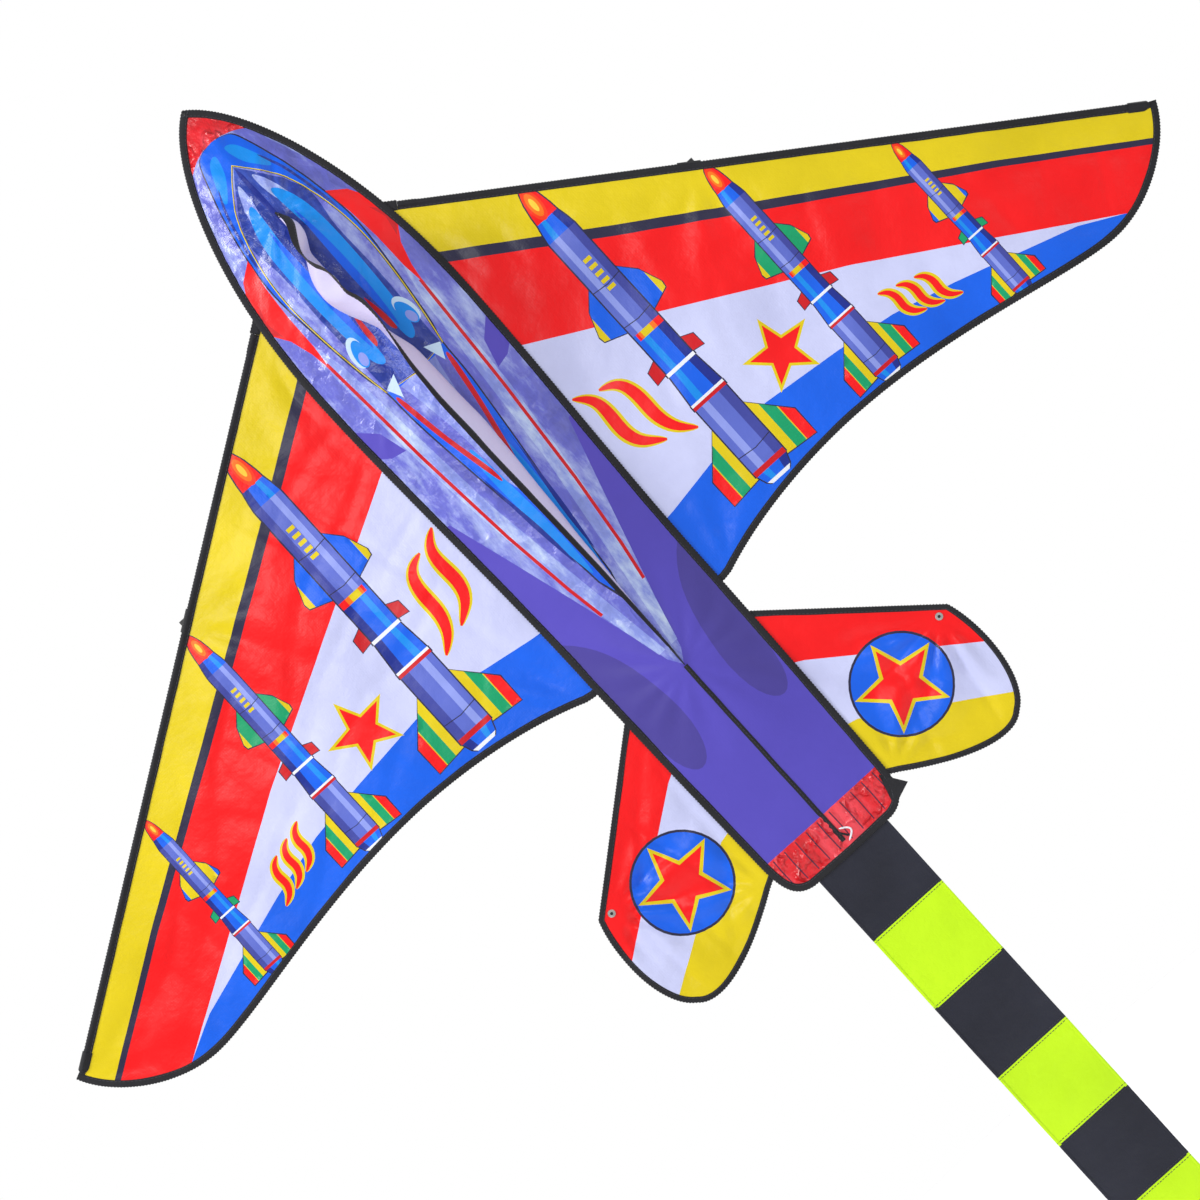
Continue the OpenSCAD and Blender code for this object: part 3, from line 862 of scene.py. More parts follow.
scene = bpy.context.scene
cam_data = bpy.data.cameras.new("camera")
cam_data.lens = LENS
cam_data.sensor_width = SENSOR
cam = bpy.data.objects.new("camera", cam_data)
scene.collection.objects.link(cam)
scene.camera = cam
# Square on to the kite, which lies slanting in the picture.
right = Vector((0.7405, 0.0, -0.672)).normalized()
upward = Vector((0.672, 0.0, 0.7405)).normalized()
back = right.cross(upward)
turn = Matrix((right, upward, back)).transposed().to_4x4()
centre = Vector((-0.019, MID, up(LOOK_AT_D)))
cam.matrix_world = Matrix.Translation(centre + back * (FRAME_WIDTH * LENS / SENSOR)) @ turn

scene.view_settings.view_transform = "Standard"
world = bpy.data.worlds.new("studio")
scene.world = world
world.use_nodes = True
wt = world.node_tree
wt.nodes.clear()
w_out = add_node(wt, "OutputWorld")
w_bg = add_node(wt, "Background", {"Color": (1, 1, 1, 1)})
w_tc = add_node(wt, "TexCoord")
w_sep = add_node(wt, "SeparateXYZ")
# Half as bright in front of the kite as behind it.
w_map = add_node(
    wt, "MapRange", {"From Min": -0.25, "From Max": 0.55, "To Min": 0.5, "To Max": 1.0},
)
wt.links.new(w_tc.outputs["Generated"], w_sep.inputs[0])
wt.links.new(w_sep.outputs["Y"], w_map.inputs["Value"])
wt.links.new(w_map.outputs[0], w_bg.inputs["Strength"])
wt.links.new(w_bg.outputs[0], w_out.inputs[0])


def area_light(name, place, aim, size, power):
    """A rectangle of light, its power in watts."""
    data = bpy.data.lights.new(name, "AREA")
    data.shape = "RECTANGLE"
    data.size, data.size_y = size
    data.energy = power
    ob = bpy.data.objects.new(name, data)
    ob.location = place
    ob.rotation_euler = (Vector(aim) - Vector(place)).to_track_quat("-Z", "Y").to_euler()
    scene.collection.objects.link(ob)


area_light("key", (-2.2, -1.25, 1.5), (0, 0.1, -0.35), (0.9, 0.9), 58)
area_light("gloss", (-0.55, -2.5, 0.55), (0, 0.1, -0.4), (0.55, 0.35), 15)
area_light("fill", (2.2, -1.8, 0.2), (0, 0.1, -0.4), (1.6, 1.6), 8)
area_light("rear", (0.8, 2.4, 0.6), (0, 0.1, -0.4), (1.6, 1.6), 30)

FLOOR_GAP = 0.08
FLOOR_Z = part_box("ribbon_bundle")[0][2] - FLOOR_GAP
floor_mat = new_material("stage_floor", {"Base Color": (0.86, 0.86, 0.87, 1), "Roughness": 0.8})[0]
bpy.ops.mesh.primitive_circle_add(
    vertices=96, radius=1.9, fill_type="NGON", location=(0, 0, FLOOR_Z),
)
floor = bpy.context.object
floor.name = "stage_floor"
floor.data.materials.append(floor_mat)

# ---- shapes of the cloth ----

SIDES = (("right", 1), ("left", -1))
EDGE_LEN = hypot(TIP[0] - ROOT[0], TIP[1] - ROOT[1])
EDGE_DIR = ((TIP[0] - ROOT[0]) / EDGE_LEN, (TIP[1] - ROOT[1]) / EDGE_LEN)
EDGE_IN = (-EDGE_DIR[1], EDGE_DIR[0])
INSET = 3.4  # the edge rod's middle, in from the leading edge
WING_EYE = (345, 384)  # where the spreader pulls on the wing
TAIL_EYE = (221, 882)  # the tailplane's eyelet


def wing_h(x, d, side):
    """How far the wing's cloth lies behind its flat plane, in millimetres."""
    depth = (d - lead(x)) * EDGE_DIR[0]
    seed = 4.0 if side > 0 else 19.0
    h = 3.6 * wander(x * 0.0085 + seed, d * 0.0085, 1.0)
    h += 1.9 * wander(x * 0.021, d * 0.017 + seed, 5.0)
    slant = (x * 0.82 + d * 0.57) * 0.035
    h += 1.1 * wander(slant, (x * 0.57 - d * 0.82) * 0.006, seed)
    h += 0.3 * wander(x * 0.06, d * 0.06, seed)
    h += ray_folds(x, d, *WING_EYE, 130, 9, 1.2, seed)
    h += ray_folds(x, d, 97, 709, 160, 10, 1.3, seed + 1)  # the root's rear corner
    h += ray_folds(x, d, 97, 230, 130, 8, 1.0, seed + 3)  # the root's front corner
    h += ray_folds(x, d, 720, 655, 140, 9, 1.1, seed + 2)  # the tip
    h += 1.1 * long_crease(x, d, 0.61, seed) + 0.9 * long_crease(x, d, 1.9, seed + 7)
    h -= 2.2 * sin(pi * min(1, max(0, depth / 420))) * fade(x, 100, 260)
    te = np.interp(x, trail_x, trail_d) - d
    h += (abs(h) - h) * (1 - fade(x, 98, 130))
    return h * fade(depth, 10, 60) * fade(x, 80, 112) * (0.45 + 0.55 * fade(te, 0, 60))


by_x = sorted(q for q in trailing if q[0] < 716)
trail_x, trail_d = zip(*by_x)

tail_rim = KDTree(len(tail_side))
for i, q in enumerate(tail_side):
    tail_rim.insert((q[0], q[1], 0), i)
tail_rim.balance()


def tail_lead(x):
    """The tailplane's leading edge, below the nose."""
    return 755 + (x - 88.5) * 0.846


def tail_h(x, d, side):
    """How far the tailplane's cloth lies behind its flat plane, in millimetres."""
    seed = 31.0 if side > 0 else 47.0
    h = 3.0 * wander(x * 0.014 + seed, d * 0.014, 2.0)
    h += 1.2 * wander(x * 0.04, d * 0.03 + seed, 2.0)
    h += ray_folds(x, d, *TAIL_EYE, 120, 11, 3.0, seed)
    h += ray_folds(x, d, 88, 965, 90, 9, 2.2, seed)
    h += 2.4 * long_crease(x, d, 0.72, seed) + 2.0 * long_crease(x, d, 1.75, seed + 3)
    h *= 0.3 + 0.7 * fade(tail_rim.find((x, d, 0))[2], 5, 30)
    r = hypot(x - TAIL_EYE[0], d - TAIL_EYE[1])
    return h * fade(r, 4, 30) * fade(x, 78, 104) * fade((d - tail_lead(x)) * 0.76, 6, 40)


BELLY_FRONT, BELLY_REAR = 22, 986


def ridge_h(d):
    """How far the middle of the belly stands out, in millimetres."""
    nose = max(0.0, d - BELLY_FRONT) / (KEEL_FRONT - BELLY_FRONT)
    tail = (BELLY_REAR - d) / (BELLY_REAR - KEEL_REAR)
    return BELLY * 1000 * max(0.0, min(1.0, sqrt(nose), tail))


def body_h(x, d):
    """How far the belly stands in front of the edge plane, in millimetres."""
    p = half_width(d)
    slope = (half_width(d + 3) - half_width(d - 3)) / 6
    strip = 7.4 * sqrt(1 + slope * slope)
    flat = max(p - strip, p * 0.2, 0.5)
    h = ridge_h(d)
    q = abs(x)
    t = min(1.0, q / flat)
    base = h * (1 - t) + 0.18 * h * sin(pi * t)
    room = fade(flat - q, 0, 16)
    side = 3.0 if x > 0 else 11.0
    front = 1 - fade(d, 430, 640)
    w = 1.3 * wander(x * 0.016 + side, d * 0.009, 6.0)
    w += front * 2.1 * wander((x + 0.35 * d) * 0.028, (d - 0.6 * q) * 0.016, side)
    w += front * 1.1 * wander(q * 0.06 + side, (d + 0.5 * q) * 0.028, 8.0)
    w += 0.4 * front * wander(x * 0.12, d * 0.10, side)
    fold = abs(wander((x + 0.5 * d) * 0.020, (d - 0.8 * q) * 0.011, side + 2))
    w += 1.5 * front * max(0.0, 1 - fold * 7)
    w += 1.0 * (1 - fade(d, 40, 80)) * max(0.0, 1 - 5 * abs(wander(x * 0.07, d * 0.05, side)))
    w += ray_folds(x, d, 0, KEEL_FRONT, 110, 12, 1.4, side)
    w += ray_folds(x, d, 0, KEEL_REAR, 120, 13, 0.9, side)
    w -= 2.6 * front * exp(-(((d - 400 - 0.5 * q) / 16) ** 2)) * fade(q, 20, 70)
    w *= room * fade(d, 12, 44) * (0.35 + 0.65 * fade(q, 0, 14))
    gather = fade(d, 944, 955) * (1 - fade(d, 980, 988))
    pleat = 1.5 * sin(2 * pi * x / PLEAT + 0.8 * sin(d * 0.09)) + 0.6 * sin(x * 0.97)
    w += gather * pleat * fade(flat - q, 0, 9)
    return max(base + w, -0.1)


def front_of_body(x, d, lift=0):
    """A point on the belly, or some millimetres in front of it."""
    return (x / 1000, EDGE_Y - (body_h(x, d) + lift) / 1000, up(d))


# ---- body ----

body_outline = body_side + mirrored(body_side)[1:-1]
belly = printed_cloth(
    "belly_cloth", body_outline, doubled(body_print_half), 4.6, front_of_body, base="indigo"
)
declare(belly, "body_cloth", "fuselage", "belly_panel_left", "belly_panel_right")


def back_y(x, d):
    """Where the back cloth lies, front to back."""
    h = 0.7 * wander(x * 0.02, d * 0.012, 9.0) + 0.3 * wander(x * 0.05, d * 0.04, 2.0)
    edge = fade(half_width(d) - abs(x), 6, 26)
    return BACK + (0.2 - abs(h) * 1.1 * edge) / 1000


back_cloth = printed_cloth(
    "body_back_cloth", body_outline, [], 8.0, lambda x, d: (x / 1000, back_y(x, d), up(d)),
    base="indigo",
)
declare(back_cloth, "body_cloth", "fuselage", "body_back_panel")

TAPE_MID = (EDGE_Y - 0.0007 + BACK + 0.0006) / 2
body_loop = body_side + mirrored(body_side)[1:]
body_tape = edge_tape("body_edge_tape_cloth", body_loop, 7.0, 1, TAPE_MID, 0.85, closed=True)
declare(body_tape, "tape", "fuselage", "body_edge_tape")
body_stitch = stitches("body_edge_stitches", body_loop, 5.4, 1, TAPE_MID - 0.0011)
declare(body_stitch, "tape", "fuselage")


def seam_strip(name, d0, d1, half):
    """Tape along the belly's middle."""
    rings = []
    n = int((d1 - d0) / 2)
    for i in range(n + 1):
        d = d0 + (d1 - d0) * i / n
        wob = 0.5 * wander(d * 0.03, 2.0, 1.0)
        ring = []
        for u, lift in ((-1, 0.1), (-0.85, 0.75), (0, 1.0), (0.85, 0.75), (1, 0.1)):
            ring.append(front_of_body(wob + u * half, d, lift * 0.75 + 0.1))
        rings.append(ring)
    v, f = sweep(rings)
    return add_object(name, v, f, ["tape"])


seam = seam_strip("belly_seam_tape_cloth", 747, 984, 2.5)
declare(seam, "tape", "fuselage", "belly_seam_tape")
seam_thread = stitches(
    "belly_seam_stitches", [(0, 749), (0, 982)], 0.0, 1, 0,
    place=lambda x, d, r: front_of_body(x, d, 0.85 - r),
)
declare(seam_thread, "tape", "fuselage")


def tube(name, pts, r, key, n=8):
    """A short cord along points, with round section."""
    rings = []
    for i, p in enumerate(pts):
        a = Vector(pts[max(0, i - 1)])
        b = Vector(pts[min(len(pts) - 1, i + 1)])
        g = (b - a).normalized()
        e1 = g.cross(Vector((0, 1, 0.01))).normalized()
        e2 = g.cross(e1)
        here = r * (0.3 if i in (0, len(pts) - 1) else 1.0)
        turns = [2 * pi * k / n for k in range(n + 1)]
        rings.append([tuple(Vector(p) + (e1 * cos(t) + e2 * sin(t)) * here) for t in turns])
    v, f = sweep(rings)
    return add_object(name, v, f, [key])


# Two short ends of cord, one lying nearly straight and one in a bow.
straight = [
    front_of_body(1 + 16 * sin(t * 0.9) * 0.5, 974 + 9 * t, 2.4 + 1.2 * sin(t * 3))
    for t in [i / 12 for i in range(13)]
]
bow = [
    front_of_body(4 + 9 * sin(pi * t), 971 + 16 * t, 2.6 + 2.2 * sin(pi * t))
    for t in [i / 14 for i in range(15)]
]
tie_a = tube("tail_tie_black", straight, 0.0011, "tape")
tie_b = tube("tail_tie_white", bow, 0.0010, "white")
for ob in (tie_a, tie_b):
    declare(ob, "tape", "fuselage")

tab_cut = [(70, 958), (87, 983), (60, 993)]
corner_tab = printed_cloth(
    "tail_corner_tab", tab_cut, [], 3.0,
    lambda x, d: (x / 1000, TAPE_MID - 0.0013 - 0.0004 * sin(x), up(d)), base="tape",
)
declare(corner_tab, "tape", "fuselage")

# ---- cloth behind the body ----


def centre_cloth(name, node, outline, layers, base, slot):
    """The middle of a sail, behind the body; each layer is a colour from d0 down to d1."""
    layers = [(key, [(-99, d0), (99, d0), (99, d1), (-99, d1)]) for key, d0, d1 in layers]
    ob = printed_cloth(
        name, outline, layers, 9.0,
        lambda x, d: (x / 1000, MID + 0.0003 * wander(x * 0.03, d * 0.02, 3.0), up(d)), base=base,
    )
    declare(ob, slot, "fuselage", node)


W = 80  # the wing's middle cloth, half width
centre_cloth(
    "wing_centre_cloth", "wing_centre_panel", [(0, 150), (W, 203), (W, 709), (-W, 709), (-W, 203)],
    [("pale", 100, 627), ("red", 100, 393), ("navy", 100, 279), ("yellow", 100, 265.5)],
    "royal", "wing_cloth",
)
T = 76  # the same for the tailplane
centre_cloth(
    "tailplane_centre_cloth", "tailplane_centre_panel",
    [(-44, 719), (44, 719), (T, 744.5), (T, 963), (17, 947), (-17, 947), (-T, 963), (-T, 744.5)],
    [("pale", 700, 899), ("red", 700, 815)],
    "yellow", "tailplane_cloth",
)


def spine_sleeve(name, node, spans):
    """Cloth sewn over the spine rod, in one or more spans."""
    verts, faces = [], []
    flange = (MID - SPINE) * 1000 + 0.3 + 0.55
    for d0, d1 in spans:
        rings = []
        n = int((d1 - d0) / 2.5)
        for i in range(n + 1):
            d = d0 + (d1 - d0) * i / n
            r = 2.85 + 0.22 * wander(d * 0.09, 1.0, 1.0)
            wob = 0.4 * wander(d * 0.05, 4.0, 1.0)
            ring = [(-9 + wob, flange), (-5.5, flange + 0.15), (-3.4, flange + 0.35)]
            ring += [polar(r, a) for a in range(200, -21, -20)]
            ring += [(3.4, flange + 0.35), (5.5, flange + 0.15), (9 + wob, flange)]
            rings.append([(x / 1000, SPINE + y / 1000, up(d)) for x, y in ring])
        v, f = sweep(rings)
        faces += [tuple(k + len(verts) for k in q) for q in f]
        verts += v
    ob = add_object(name, verts, faces, ["tape"])
    declare(ob, "tape", "fuselage", node)
    thread = []
    for sx in (-7.4, 7.4):
        for d0, d1 in spans:
            st = stitches(
                f"{name}_thread_{len(thread)}", [(sx, d0 + 2), (sx, d1 - 2)], 0, 1, 0,
                place=lambda x, d, r: (x / 1000, SPINE + (flange + 0.25 - r) / 1000, up(d)),
            )
            declare(st, "tape", "fuselage")
            thread.append(st)


spine_sleeve("spine_sleeve_front_cloth", "spine_sleeve_front", [(150, 360)])
spine_sleeve("spine_sleeve_rear_cloth", "spine_sleeve_rear", [(400, 700), (726, 862), (902, 942)])


def pocket(name, node, outline):
    """A patch that stands over the end of the spine, open where the rod goes in."""
    top = (SPINE - BACK) * 1000 + 3.15
    low = 0.9

    def place(x, d):
        lift = exp(-((abs(x) / 5.2) ** 3.2))
        h = low + (top - low) * lift + 0.12 * wander(x * 0.2, d * 0.2, 1.0)
        return (x / 1000, BACK + h / 1000, up(d))

    ob = printed_cloth(name, outline, [], 1.6, place, base="tape")
    declare(ob, "tape", "fuselage", node)


pocket("nose_pocket_cloth", "nose_pocket", [(-6, 7), (6, 7), (12, 50), (-12, 50)])
pocket(
    "tail_pocket_cloth", "tail_pocket", [(-13, 949), (13, 949), (13, 990), (-13, 990)],
)

# ---- wings ----

DROP = (INSET + 2.0) / EDGE_DIR[0]  # the sail starts this far below the leading edge
wing_cut = [(W, 710.6), (W, lead(W) + DROP)]
tip_part = [q for q in trailing if q[1] > lead(q[0]) + DROP]
wing_cut += [(tip_part[0][0] + 0.5, lead(tip_part[0][0] + 0.5) + DROP)] + tip_part
# The spreader clip's place along the edge, and half the gap in the sleeve where it holds the rod.
CLIP_S = (380 - ROOT[1] - INSET * EDGE_IN[1]) / EDGE_DIR[1]
CLIP_GAP = 14
SLEEVE_END = EDGE_LEN - 27


def edge_point(s, lx, ly, side):
    """A point by the edge rod: s along it, lx into the sail, ly behind the sail's plane."""
    x = ROOT[0] + EDGE_DIR[0] * s + EDGE_IN[0] * (INSET + lx)
    d = ROOT[1] + EDGE_DIR[1] * s + EDGE_IN[1] * (INSET + lx)
    return (x * side / 1000, MID + ly / 1000, up(d))


def sleeve_ring(s, side, r, width, part):
    """One side of the sleeve's section: front or rear."""
    tooth = 0.42 * sin(2 * pi * s / LOOP_PITCH)
    n1 = 0.25 * wander(s * 0.08, side * 3.0, 1.0)
    w = width + 0.4 * wander(s * 0.035, side * 9.0, 2.0)
    r += 0.65 * (1 - fade(s, 16, 26))
    front = [(w, -0.35), (w - 0.5, -0.75), (w * 0.72, -0.9 - n1), (2.8, -1.25)]
    front += [polar(r + n1, a) for a in (-50, -75, -105, -140)] + [(-r - tooth, 0.0)]
    ring = front if part == "front" else [(x, -y) for x, y in reversed(front)]
    return [edge_point(s, x, y, side) for x, y in ring]


for word, side in SIDES:
    body = f"wing_{word}"

    def on_sail(x, d, y=0):
        return (x * side / 1000, MID + (wing_h(x, d, side) + y) / 1000, up(d))

    sail = printed_cloth(
        f"{body}_sail_cloth", wing_cut, wing_print, 5.0, on_sail, flip=side < 0, base="royal"
    )
    declare(sail, "wing_cloth", None, f"{body}_sail")
    path = trailing + [(88, 709.6), (81, 709.4), (9.5, 709.3)]
    tape = edge_tape(f"{body}_edge_tape_cloth", path, 6.4, 1, MID, 0.35, place=on_sail)
    declare(tape, "tape", None, f"{body}_edge_tape")
    thread = stitches(
        f"{body}_edge_stitches", path[2:], 4.9, 1, 0, place=lambda x, d, r: on_sail(x, d, r - 0.55),
    )
    root_path = [(x, lead(x)) for x in (9.5, 30, 60, 90, ROOT[0] + 1.0)]
    root_tape = edge_tape(f"{body}_root_tape_cloth", root_path, 9.6, 1, MID, 0.35, place=on_sail)
    for ob in (sail, tape, thread, root_tape):
        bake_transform(ob)
    verts, faces = [], []
    for part, s0, s1 in (
        ("front", 1.5, SLEEVE_END),
        ("rear", 1.5, CLIP_S - CLIP_GAP),
        ("rear", CLIP_S + CLIP_GAP, SLEEVE_END),
    ):
        n = int((s1 - s0) / EDGE_STEP)
        rings = [sleeve_ring(s0 + (s1 - s0) * i / n, side, 2.7, 5.8, part) for i in range(n + 1)]
        v, f = sweep(rings)
        faces += [tuple(k + len(verts) for k in q) for q in f]
        verts += v
    sleeve = add_object(f"{body}_edge_sleeve_cloth", verts, faces, ["tape"])
    declare(sleeve, "tape", body, f"{body}_edge_sleeve")
    seam_line = [
        (ROOT[0] + EDGE_DIR[0] * s, ROOT[1] + EDGE_DIR[1] * s)
        for s in (5, SLEEVE_END - 2)
    ]
    sleeve_thread = stitches(
        f"{body}_sleeve_stitches", seam_line, INSET + 4.4, 1, MID - 0.0011, mirror=side,
    )
    declare(sleeve_thread, "tape", body)
    rings = []
    for i in range(25):
        s = EDGE_LEN - 28 + 22.5 * i / 24
        r = 3.35 * (1 - fade(i, 20, 25)) + 0.3
        w = 6.6 * (1 - 0.4 * fade(i, 16, 24))
        half = [
            (w, -0.4), (w - 0.5, -0.95), (w * 0.52, -1.4), (1.6, -r * 0.93), (0, -r),
            (-1.9, -r * 0.8),
        ]
        ring = half + [(-r - 0.2, 0)] + [(a, -b) for a, b in reversed(half)]
        rings.append([edge_point(s, a, b, side) for a, b in ring])
    v, f = sweep(rings)
    tip = add_object(f"{body}_tip_pocket_cloth", v, f, ["tape"])
    declare(tip, "tape", body, f"{body}_tip_pocket")

# ---- tailplanes ----

tail_cut = [(T, 963), (T, tail_lead(T))] + tail_side
HOLE = disc(*TAIL_EYE, 2.6, n=20)
for word, side in SIDES:
    body = f"tailplane_{word}"

    def on_fin(x, d, y=0):
        return (x * side / 1000, MID + (tail_h(x, d, side) + y) / 1000, up(d))

    fin = printed_cloth(
        f"{body}_sail_cloth", tail_cut, tail_print, 4.2, on_fin,
        holes=[HOLE], flip=side < 0, base="yellow",
    )
    declare(fin, "tailplane_cloth", None, f"{body}_sail")
    path = [(9.5, 719.3), (44, 719.3), tail_cut[1], *tail_side]
    path += [(81, 965.8), (75, 962.4), (17, 947.2), (9.5, 947)]
    tape = edge_tape(f"{body}_edge_tape_cloth", path, 5.2, 1, MID, 0.35, place=on_fin)
    declare(tape, "tape", None, f"{body}_edge_tape")
    thread = stitches(
        f"{body}_edge_stitches", path, 3.9, 1, 0, place=lambda x, d, r: on_fin(x, d, r - 0.55),
    )
    for ob in (fin, tape, thread):
        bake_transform(ob)

# ---- keel ----

LIP = 11.0  # cloth round the tow eyelet
B = RIDGE * 1000  # the seam
# The free edge as (u, d), u from the eyelet at 0 to the seam at B.
keel_free = curve([(B - 0.5, KEEL_FRONT), (62, 160), (24, 190), (-5, 230)], 30)
keel_free += [(-LIP * cos(radians(a)), TOW_D + LIP * sin(radians(a))) for a in range(-50, 76, 8)]
keel_free += curve([(2, 262), (16, 350), (44, 560), (B - 0.5, KEEL_REAR)], 60)
# How the free edge leans sideways, and how the cloth inside it billows, both as (d, x).
LEAN = [
    (KEEL_FRONT, 0), (158, 3), (172, -4), (188, -9), (204, -9), (220, -3), (232, 0), (254, 0),
    (270, 7), (290, 7), (320, 2), (350, -3), (395, -6), (500, -4.5), (600, -2), (KEEL_REAR, 0),
]
BILLOW = [
    (KEEL_FRONT, 0), (158, 9), (174, 13), (190, 6), (206, -8), (224, -19), (246, -22), (272, -15),
    (298, 0), (335, 14), (430, 18), (540, 12), (650, 5), (KEEL_REAR, 0),
]
lean_d, lean_x = zip(*LEAN)
bill_d, bill_x = zip(*BILLOW)
free_u, free_d = zip(*keel_free)


def smooth_at(d, ds, xs):
    """A table's value at d, smoothed over its neighbours."""
    return sum(float(np.interp(d + e, ds, xs)) * 0.2 for e in (-9, -4, 0, 4, 9))


def keel_x(u, d):
    """How far the keel's cloth lies to the side, in millimetres."""
    edge = float(np.interp(d, free_d, free_u))
    t = min(1.0, max(0.0, (B - u) / max(6.0, B - edge)))
    x = smooth_at(d, lean_d, lean_x) * t * t + smooth_at(d, bill_d, bill_x) * sin(pi * t)
    x += 0.9 * wander(u * 0.03, d * 0.02, 5.0) * sin(pi * min(1, t * 0.9))
    r = hypot(u, d - TOW_D)
    return x * fade(r, 3, 26)


def keel_place(u, d, across=0.0):
    return ((keel_x(u, d) + across) / 1000, u / 1000, up(d))


keel_cut = keel_free + [(B + 0.2, KEEL_REAR - 2), (B + 0.2, KEEL_FRONT + 2)]
keel = printed_cloth(
    "keel_cloth", keel_cut, [], 4.0, keel_place, holes=[disc(0, TOW_D, 3.25, n=24)], base="keel"
)
declare(keel, "keel_cloth", None, "keel_flap")
keel_tape = edge_tape("keel_edge_tape_cloth", keel_free, 4.6, -1, 0, 0.35, place=keel_place)
declare(keel_tape, "tape", None, "keel_edge_tape")
keel_threads = []
for word, sgn in (("near", 1), ("far", -1)):
    st = stitches(
        f"keel_stitches_{word}", [q for q in keel_free if q[0] < B - 6], 3.5, -1, 0,
        place=lambda u, d, r: keel_place(u, d, sgn * (0.62 - r)),
    )
    keel_threads.append(st)
# The cloth bends over its first stretch from the seam, so that it lies on the belly when it leans.
for ob in (keel, keel_tape, *keel_threads):
    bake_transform(ob)

# ---- ribbon tail ----

RIB = 46.0  # half width
PANELS = 6
FIRST, PANEL = 77, 92  # the lengths of the first panel, part of it hidden, and of the others
seams = [1002] + [1002 + FIRST + PANEL * i for i in range(PANELS)]
STRIPES = ["ribbon", "lime"]
SPLIT = 1215  # where the two pieces of cloth meet
END = seams[-1]


def ribbon_y(x, d):
    """Where the ribbon's cloth lies, front to back."""
    h = 2.0 * sin((d - 1000) * 0.021 + x * 0.006) + 1.3 * wander(x * 0.02, d * 0.013, 3.0)
    h += 0.7 * wander((x + d) * 0.03, (x - d) * 0.012, 7.0) + 0.3 * wander(x * 0.06, d * 0.05, 7.0)
    return MID + h * fade(d, 1000, 1045) * (1 - fade(d, END - 30, END)) / 1000


def ribbon_edge(x, d):
    return x * (1 + 0.006 * wander(x, d * 0.02, 1.0))


bands = []
for i in range(PANELS):
    d0, d1 = seams[i] if i else 900, seams[i + 1]
    bands.append((STRIPES[i % 2], [(-60, d0), (60, d0), (60, d1), (-60, d1)]))


def ribbon_sheet(name, d0, d1, nodes):
    """The ribbon from d0 to d1, with stitches across its seams and hems along its sides."""
    outline = [(-RIB, d0), (RIB, d0), (RIB, d1), (-RIB, d1)]
    ob = printed_cloth(
        name, outline, bands, 5.0,
        lambda x, d: (ribbon_edge(x, d) / 1000, ribbon_y(x, d), up(d)), base="ribbon",
    )
    declare(ob, "ribbon_lime", None, *nodes)
    extra = []
    rows = [q for q in seams[1:PANELS] if d0 < q < d1]
    for k, q in enumerate(rows):
        for off in (-2.4, 2.4):
            extra.append(stitches(
                f"{name}_seam_{k}_{'a' if off < 0 else 'b'}",
                [(-RIB + 1, q + off), (RIB - 1, q + off)], 0, 1, 0, step=3.6, length=2.4,
                place=lambda x, d, r: (x / 1000, ribbon_y(x, d) + (r - 0.06) / 1000, up(d)),
            ))
    for sx in (-1, 1):
        n = int((d1 - d0) / 3)
        rings = []
        for i in range(n + 1):
            d = d0 + (d1 - d0) * i / n
            ring = [(-3.2, 0.18), (-3.0, -0.3), (-0.2, -0.3), (0.15, 0.0), (-0.2, 0.3), (-3.0, 0.3)]
            ring = [(sx * (RIB + out), y) for out, y in ring]
            rings.append([
                (ribbon_edge(x, d) / 1000, ribbon_y(x, d) + y / 1000, up(d)) for x, y in ring
            ])
        v, f = sweep(rings)
        idx = []
        per = len(rings[0]) - 1
        for j in range(len(rings) - 1):
            d = d0 + (d1 - d0) * (j + 0.5) / n
            lime = sum(d > q for q in seams[1:PANELS]) % 2
            idx += [lime] * per
        extra.append(add_object(f"{name}_hem_{'left' if sx < 0 else 'right'}", v, f, STRIPES, idx))
    for o in [ob] + extra:
        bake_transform(o)


ribbon_sheet(
    "ribbon_upper_cloth", 992, SPLIT,
    ["ribbon_tab", "ribbon_panel_1", "ribbon_panel_2", "ribbon_panel_3"],
)
ribbon_sheet(
    "ribbon_lower_cloth", SPLIT, END,
    ["ribbon_panel_4", "ribbon_panel_5", "ribbon_panel_6"],
)

# The rest of the ribbon, folded back and forth.
LAYERS = 20
PITCH = 1.05  # between layers
FOLD = 86.0  # a layer's height
bundle_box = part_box("ribbon_bundle")
top_z = bundle_box[1][2] * 1000
band_z = top_z - 48
# The path of the folds as (y, z), and the number of the layer that each point is in.
path, kinds = [(0.0, top_z + 1.0), (3.5, top_z - 1.0), (8.0, top_z - 2.6)], [0, 0, 0]
for k in range(LAYERS):
    y = (LAYERS / 2 - 0.5 - k) * PITCH
    za, zb = (top_z - 5, top_z - 5 - FOLD) if k % 2 == 0 else (top_z - 5 - FOLD, top_z - 5)
    for i in range(13):
        z = za + (zb - za) * i / 12
        pinch = 1 - 0.22 * exp(-(((z - band_z) / 12) ** 2))
        path.append((y * pinch + 0.15 * sin(i * 1.3 + k), z))
        kinds.append(k)
    if k < LAYERS - 1:
        sgn = -1 if k % 2 == 0 else 1
        for a in (30, 90, 150):
            turn_y = y - PITCH / 2 + PITCH / 2 * cos(radians(a))
            path.append((turn_y, zb + sgn * 2.2 * sin(radians(a))))
            kinds.append(k)
cols = 42
rings, idx = [], []
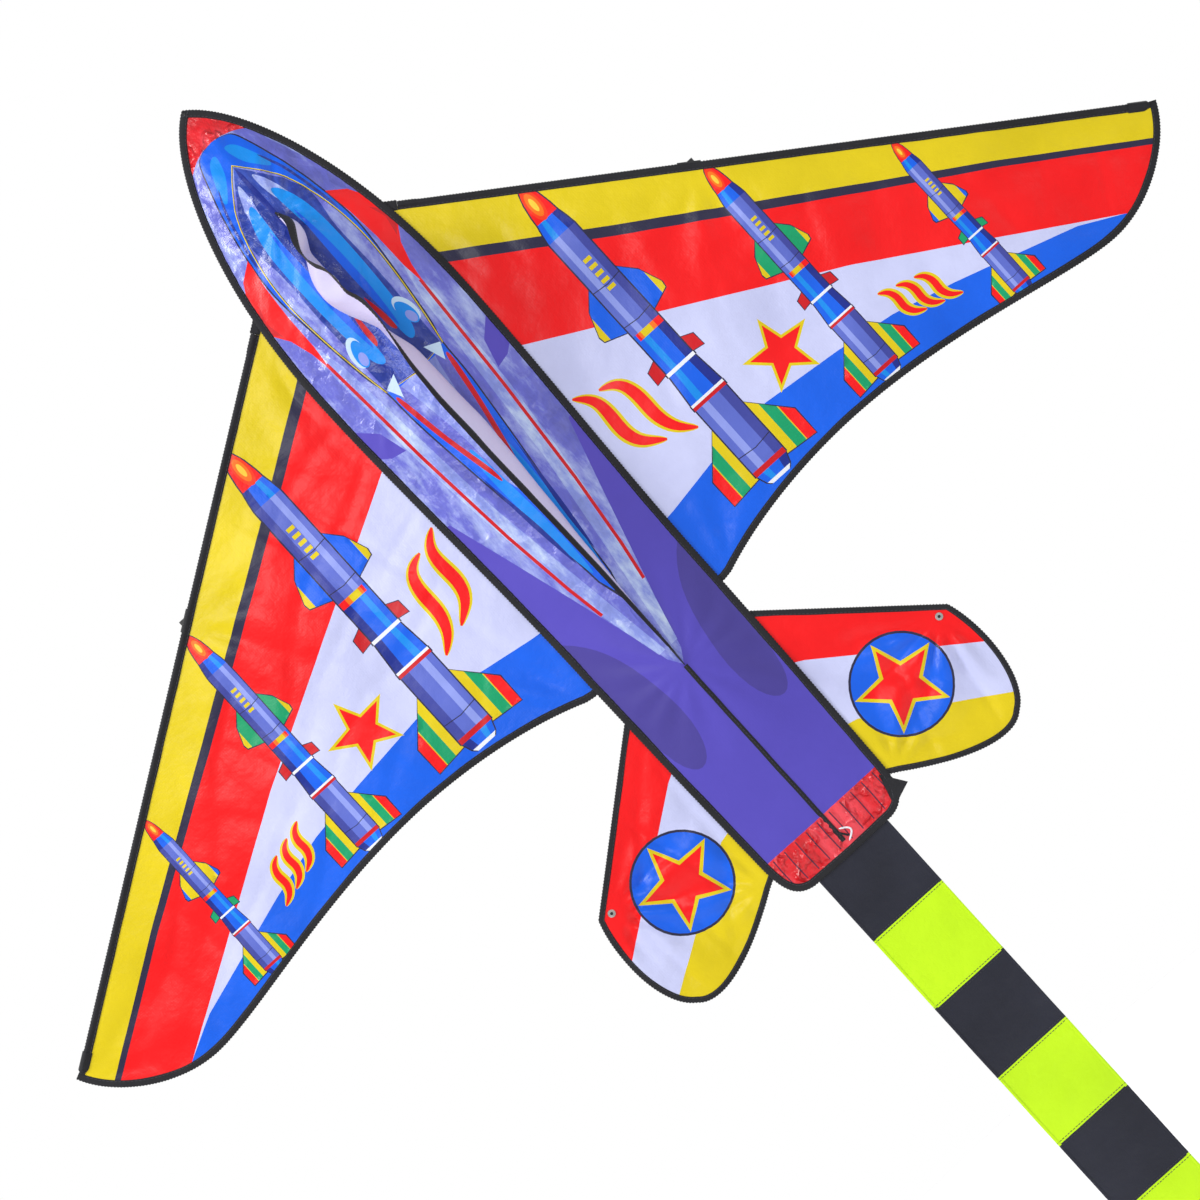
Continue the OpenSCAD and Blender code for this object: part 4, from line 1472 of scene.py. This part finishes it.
for j, (y, z) in enumerate(path):
    shift = 0.7 * wander(kinds[j] * 1.7, z * 0.004, 2.0)
    pin = 1 - 0.035 * exp(-(((z - band_z) / 14) ** 2))
    wave = 0.9 * (1 - exp(-(((z - band_z) / 16) ** 2)))
    ring = []
    for i in range(cols + 1):
        x = shift + pin * (-45 + 90 * i / cols)
        across = y + wave * sin(i * 0.42 + 0.02 * z) + 0.25 * wander(i * 0.17, z * 0.05, kinds[j])
        ring.append((x / 1000, MID + across / 1000, z / 1000))
    rings.append(ring)
v, f = sweep(rings)
for j in range(len(path) - 1):
    idx += [kinds[j] % 2] * cols
bundle = add_object("ribbon_folds_cloth", v, f, STRIPES, idx)
declare(bundle, "ribbon_lime", "ribbon_lower", "ribbon_bundle")

# The band round them: half its size, with corners rounded by the power q.
bx = (bundle_box[1][0] - bundle_box[0][0]) * 500 - 1.2
by = (bundle_box[1][1] - bundle_box[0][1]) * 500 - 1.4
rings = []
for i in range(73):
    a = 2 * pi * i / 72
    c, s = cos(a), sin(a)
    q = 0.16
    x = (bx + 0.6) * copysign(abs(c) ** q, c)
    y = (by * 0.86 + 0.6) * copysign(abs(s) ** q, s)
    tilt = 0.8 * sin(a * 2 + 0.5)
    rings.append([
        (x / 1000 * (1 + e), MID + y / 1000 * (1 + e), (band_z + h + tilt) / 1000)
        for h, e in ((-2.6, 0), (-2.2, 0.008), (0, 0.01), (2.2, 0.008), (2.6, 0))
    ])
v, f = sweep(rings)
strap = add_object("ribbon_band_cloth", v, f, ["band"])
knot_path = []
for i in range(15):
    t = i / 14
    y = by * 0.86 + 2.0 + 1.1 * sin(pi * t)
    knot_path.append(((-4 + 8 * t) / 1000, MID - y / 1000, (band_z + 1.6 * sin(5 * t)) / 1000))
knot = tube("ribbon_band_knot", knot_path, 0.0015, "band", 10)
for ob in (strap, knot):
    declare(ob, "band", "ribbon_lower")
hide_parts("ribbon_band")

# ---- rods, caps, clips and eyelets: the CAD parts, with real finishes ----

for name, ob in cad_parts.items():
    key = None
    if name.endswith("_rod"):
        key = "rod"
    elif name.endswith(("_cap", "_caps", "_clip")):
        key = "plastic"
    elif name.endswith("eyelet"):
        key = "metal"
    if key:
        ob.data.materials.clear()
        ob.data.materials.append(mats[key])
        if key == "plastic":
            bev = ob.modifiers.new("soft_edges", "BEVEL")
            bev.width = 0.00035
            bev.segments = 2
            bev.limit_method = "ANGLE"
